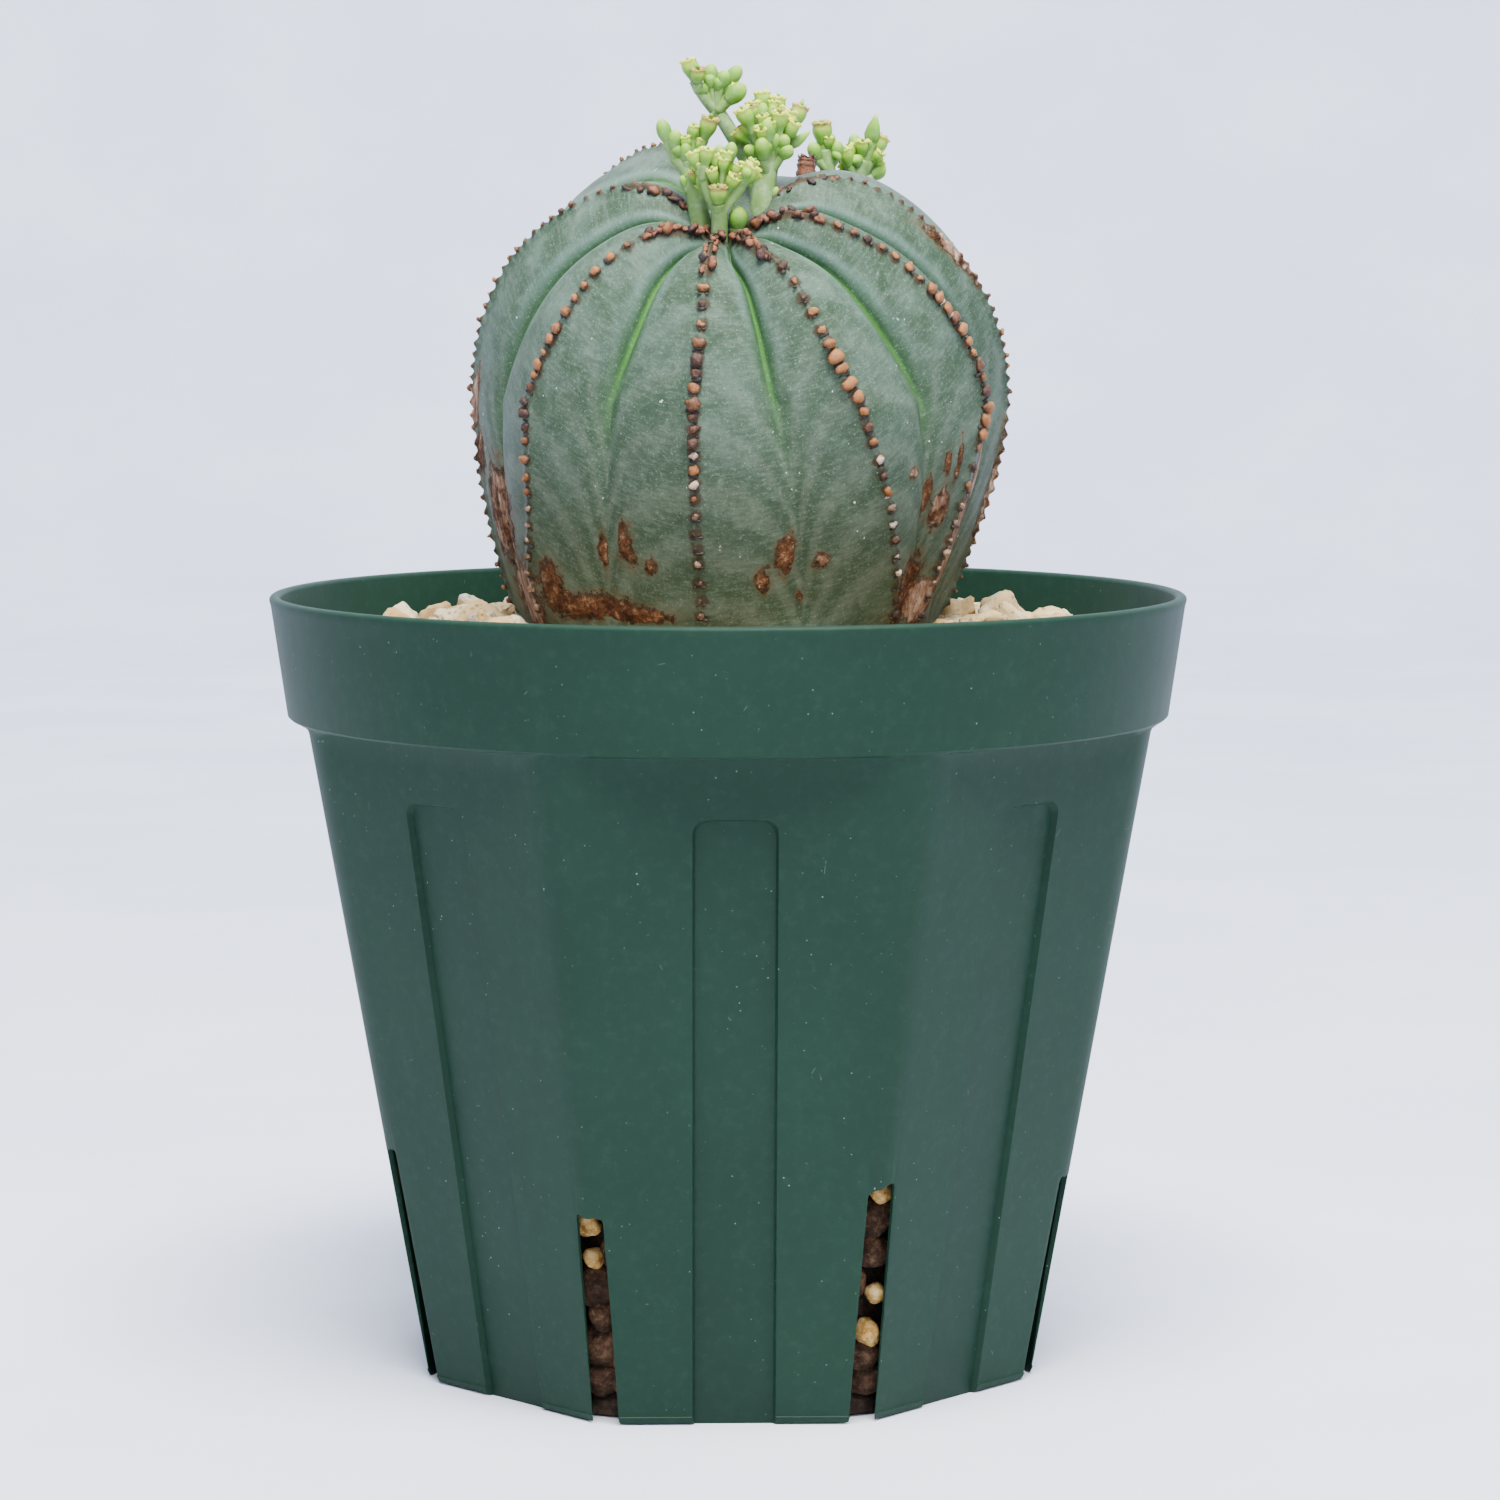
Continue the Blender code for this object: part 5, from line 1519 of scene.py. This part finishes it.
# %% Scattering the stones
STONES = {"large_stones": (big, "large_chip"), "middle_stones": (middling, "chip"),
          "small_stones": (small, "small_chip")}
for name, (group, shapes) in STONES.items():
    spots = [p[:3] for p in group]
    sizes = [(p[3], p[3] * draw.uniform(0.72, 0.98), p[3] * draw.uniform(0.62, 0.85))
             for p in group]
    turns = [(draw.uniform(-0.5, 0.5), draw.uniform(-0.5, 0.5), draw.uniform(0, 6.3))
             for _ in group]
    usual = float(np.mean([p[3] for p in group])) * MM
    keep(scatter(name, spots, sizes, turns, shapes, stone, Lump_size=usual * 1.3,
                 Lump_push=usual * 0.34, Grain_size=usual * 0.35, Grain_push=usual * 0.13),
         ("top_dressing",) if name == "large_stones" else ())

# %% The bed under the stones
BED_POINTS = 128


def bed_ring(radius, z, about_plant=False, bumpy=0.0):
    angle = around(BED_POINTS)
    x, y = radius * np.sin(angle), radius * np.cos(angle)
    if about_plant:
        x, y = x + FOOT_X, y + PLANT_Y
    rise = bumpy * (np.sin(x * 1.9 + np.sin(y * 1.3) * 2) + np.sin(y * 2.3 + np.cos(x * 1.7) * 2))
    return np.column_stack([x, y, z + rise])


rings = [bed_ring(20.4, 78.0, True), bed_ring(22.2, 84.3, True)]
rings += [bed_ring(r, float(bed_height(r)) - 0.9, bumpy=0.4)
          for r in (25.5, 28, 30.5, 33, 35.5, 38, 40.5, 43, 45.5, 48)]
rings += [bed_ring(49.3, BED_OUTER_Z - 0.9), bed_ring(48.4, 76.0), bed_ring(44.0, 74.4)]
# the last ring, under the bed, is joined back to the first
faces = ring_faces(len(rings), BED_POINTS, caps=False)
last = (len(rings) - 1) * BED_POINTS
faces += [(last + k, last + (k + 1) % BED_POINTS, (k + 1) % BED_POINTS, k)
          for k in range(BED_POINTS)]
bed = make_object("stone_bed", np.vstack(rings), faces, stone)
keep(bed)

# %% [markdown]
# ## The soil behind the slits
#
# Through the slits shows a coarse mix: dark lumps of baked clay, with a few tan pebbles among
# them, and black gaps between. Only what lies behind a slit can be seen, so lumps are stacked
# there from the floor to the slit's top, in front of a near-black core. Its near-black is dark soil
# with the shade inside the pot painted in, and near-black faces at the foot of each slit are
# painted shade alone.


# %% Finish: soil lumps
def lump_finish(name, dark, middle_tone, light):
    f = Finish(name, Specular_IOR_Level=0.25)
    color = f.ramp(f.noise(1.6, 5, 0.75), ((0.36, dark), (0.50, middle_tone), (0.66, light)))
    color = f.coats(color, (f.stored("shade") * 0.45, dark),
                    (f.patchy(0.4, 0.64, 0.72) * 0.6, light))
    return f.done(color, 0.92, f.bump(f.noise(0.6, 5, 0.7), 0.20))


clay = lump_finish("brown_clay", (0.016, 0.008, 0.005), (0.070, 0.034, 0.018), (0.21, 0.115, 0.060))
pebble = lump_finish("tan_pebble", (0.22, 0.095, 0.020), (0.56, 0.33, 0.09), (0.82, 0.62, 0.30))
# near-black soil: the soil's own dark with the shade inside the pot painted in
soil_dark_with_shade = lump_finish("dark_soil", (0.008, 0.005, 0.004), (0.020, 0.012, 0.008),
                        (0.050, 0.030, 0.020))
print("soil finishes are ready")

# %% Stacking lumps behind the slits
# two lumps lie side by side in each layer, and pebbles start above the pot's foot
LUMP_SIDES, PEBBLES_FROM, PEBBLE_SHARE = (-1.6, 1.7), 8.0, 0.40
draw = random.Random(31)
lumps = {"clay_lumps": [], "tan_pebbles": []}
for k in range(SIDES):
    out, side = out_and_side(k + 0.5)
    z = FLOOR + 0.4
    while z < SLIT_HEIGHTS[k % 2] + 1.5:
        tall = 0.0
        for across_slit in LUMP_SIDES:
            tan = z > PEBBLES_FROM and draw.random() < PEBBLE_SHARE
            size = draw.uniform(1.2, 1.8) if tan else draw.uniform(1.9, 2.9)
            height = z + size * 0.8
            reach = wall_at(height)[1] - WALL - 0.15 - size * 1.05 - abs(across_slit) * 0.42
            spot = (out * reach + side * (across_slit + draw.uniform(-0.5, 0.5))
                    + UP * (height + draw.uniform(0.0, 0.6)))
            body = (size, size * draw.uniform(0.8, 1.0), size * draw.uniform(0.75, 1.0))
            turn = tuple(draw.uniform(0, 6.3) for _ in range(3))
            lumps["tan_pebbles" if tan else "clay_lumps"].append((spot, body, turn))
            tall = max(tall, size)
        z += tall * 1.55
for name, finish in (("clay_lumps", clay), ("tan_pebbles", pebble)):
    spots, sizes, turns = zip(*lumps[name])
    keep(scatter(name, spots, sizes, turns, "lump", finish, Lump_size=0.0022,
                 Lump_push=0.0008, Grain_size=0.0009, Grain_push=0.00018))

# %% The core of the soil
CORE_LEVELS, CORE_POINTS = (FLOOR + 0.4, 10.0, 20.0, 28.0, 30.0, 45.0, 60.0, 73.5), 128
core_rings = []
for z in CORE_LEVELS:
    apothem, corner = wall_at(z, WALL + 0.4)
    # behind the slits the core stays back, to leave room for the lumps
    pull = 3.6 if z < 29 else 0.3
    core_rings.append(pot_ring(apothem - pull * 0.6, corner - pull, z, CORE_POINTS))
core = make_object("soil_core", np.vstack(core_rings), ring_faces(len(core_rings), CORE_POINTS),
                   soil_dark_with_shade)
keep(core, ("soil_mix",))

# %% Painted shade at the foot of each slit
# two upright near-black faces behind each corner, painted shade over the lit floor: how far behind it
# they stand, and their top
FOOT_FACES, FOOT_BOTTOM = ((4.4, 2.6), (3.3, 1.9)), 0.3
points, faces = [], []
for k in range(SIDES):
    out, side = out_and_side(k + 0.5)
    for behind, top in FOOT_FACES:
        half = 1.3 + 0.42 * behind
        outline = ((-half, FOOT_BOTTOM), (half, FOOT_BOTTOM), (half, top), (-half, top))
        points += [out * (BASE_CORNER - behind) + side * x + UP * z for x, z in outline]
    faces += ring_faces(2, 4, first=8 * k)
keep(make_object("slit_soil", points, faces, soil_dark_with_shade, smooth=False))

# %% [markdown]
# ## The floor and the light
#
# The plant stands on a plain pale surface that curves up all round it like a wide dish, so no edge
# shows from any side. The light is soft and comes from above and a little from the front right:
# one wide panel overhead gives the globe its pale top, a second fills the front of the pot, a
# third lights the sweep behind it, and a dim, slightly cool sky lifts the shadows. The panels are
# large for their distance, which is what makes a shadow soft.

# %% The sweep round the plant
def sweep_finish():
    f = Finish("pale_sweep", Specular_IOR_Level=0.2)
    cloudy = f.noise(90, 5, 0.6)
    color = f.mix(f.band(cloudy, 0.3, 0.7), (0.70, 0.75, 0.88), (0.78, 0.82, 0.93))
    return f.done(color, 0.85, f.bump(f.noise(1.5, 4), 0.05))


SWEEP_Y, SWEEP_RADIUS, SWEEP_TURN, SWEEP_POINTS = -0.35, 1.70, 0.40, 96
profile = [(0.2, 0.0), (0.6, 0.0), (1.0, 0.0), (SWEEP_RADIUS - SWEEP_TURN, 0.0)]
profile += [(SWEEP_RADIUS - SWEEP_TURN * (1 - math.sin(a)), SWEEP_TURN * (1 - math.cos(a)))
            for a in np.linspace(0.1, math.pi / 2, 14)]
profile += [(SWEEP_RADIUS, 0.8), (SWEEP_RADIUS, 1.8)]
points = [(r * math.sin(a), SWEEP_Y + r * math.cos(a), z)
          for r, z in profile for a in around(SWEEP_POINTS)]
faces = ring_faces(len(profile), SWEEP_POINTS, caps=False) + [tuple(range(SWEEP_POINTS))]
sweep = make_object("sweep", np.array(points) / MM, faces, sweep_finish())
print("sweep:", len(faces), "faces")

# %% Light
# each panel's name, place, target, size, power and colour
PANELS = (
    ("overhead", (0.05, -0.26, 0.66), (0.0, 0.0, 0.05), (0.36, 0.30), 16.5, (1.0, 0.985, 0.95)),
    ("front", (0.10, -1.10, 0.40), (0.0, 0.0, 0.07), (0.9, 0.7), 3.8, (1.0, 0.99, 0.96)),
    ("backdrop", (0.0, 0.45, 1.10), (0.0, 1.3, 0.35), (1.6, 0.4), 28.0, (0.93, 0.96, 1.0)),
)
SKY_COLOR, SKY_STRENGTH = (0.93, 0.96, 1.0, 1.0), 0.31
for name, place, target, size, power, color in PANELS:
    light = bpy.data.lights.new(name, "AREA")
    light.shape, light.size, light.size_y = "RECTANGLE", size[0], size[1]
    light.energy, light.color = power, color
    obj = add_object(name, light)
    obj.location = place
    obj.rotation_euler = (Vector(target) - Vector(place)).to_track_quat("-Z", "Y").to_euler()
sky = bpy.data.worlds.new("sky")
sky.use_nodes = True
background = sky.node_tree.nodes["Background"]
background.inputs["Color"].default_value = SKY_COLOR
background.inputs["Strength"].default_value = SKY_STRENGTH
bpy.context.scene.world = sky
print("lights:", len(PANELS))

# %% [markdown]
# ## Finishing
#
# The shapes that were scattered are no longer needed, so they are removed.

# %% Clearing the shapes, and the end
for group in shape_sets.values():
    discard(group)
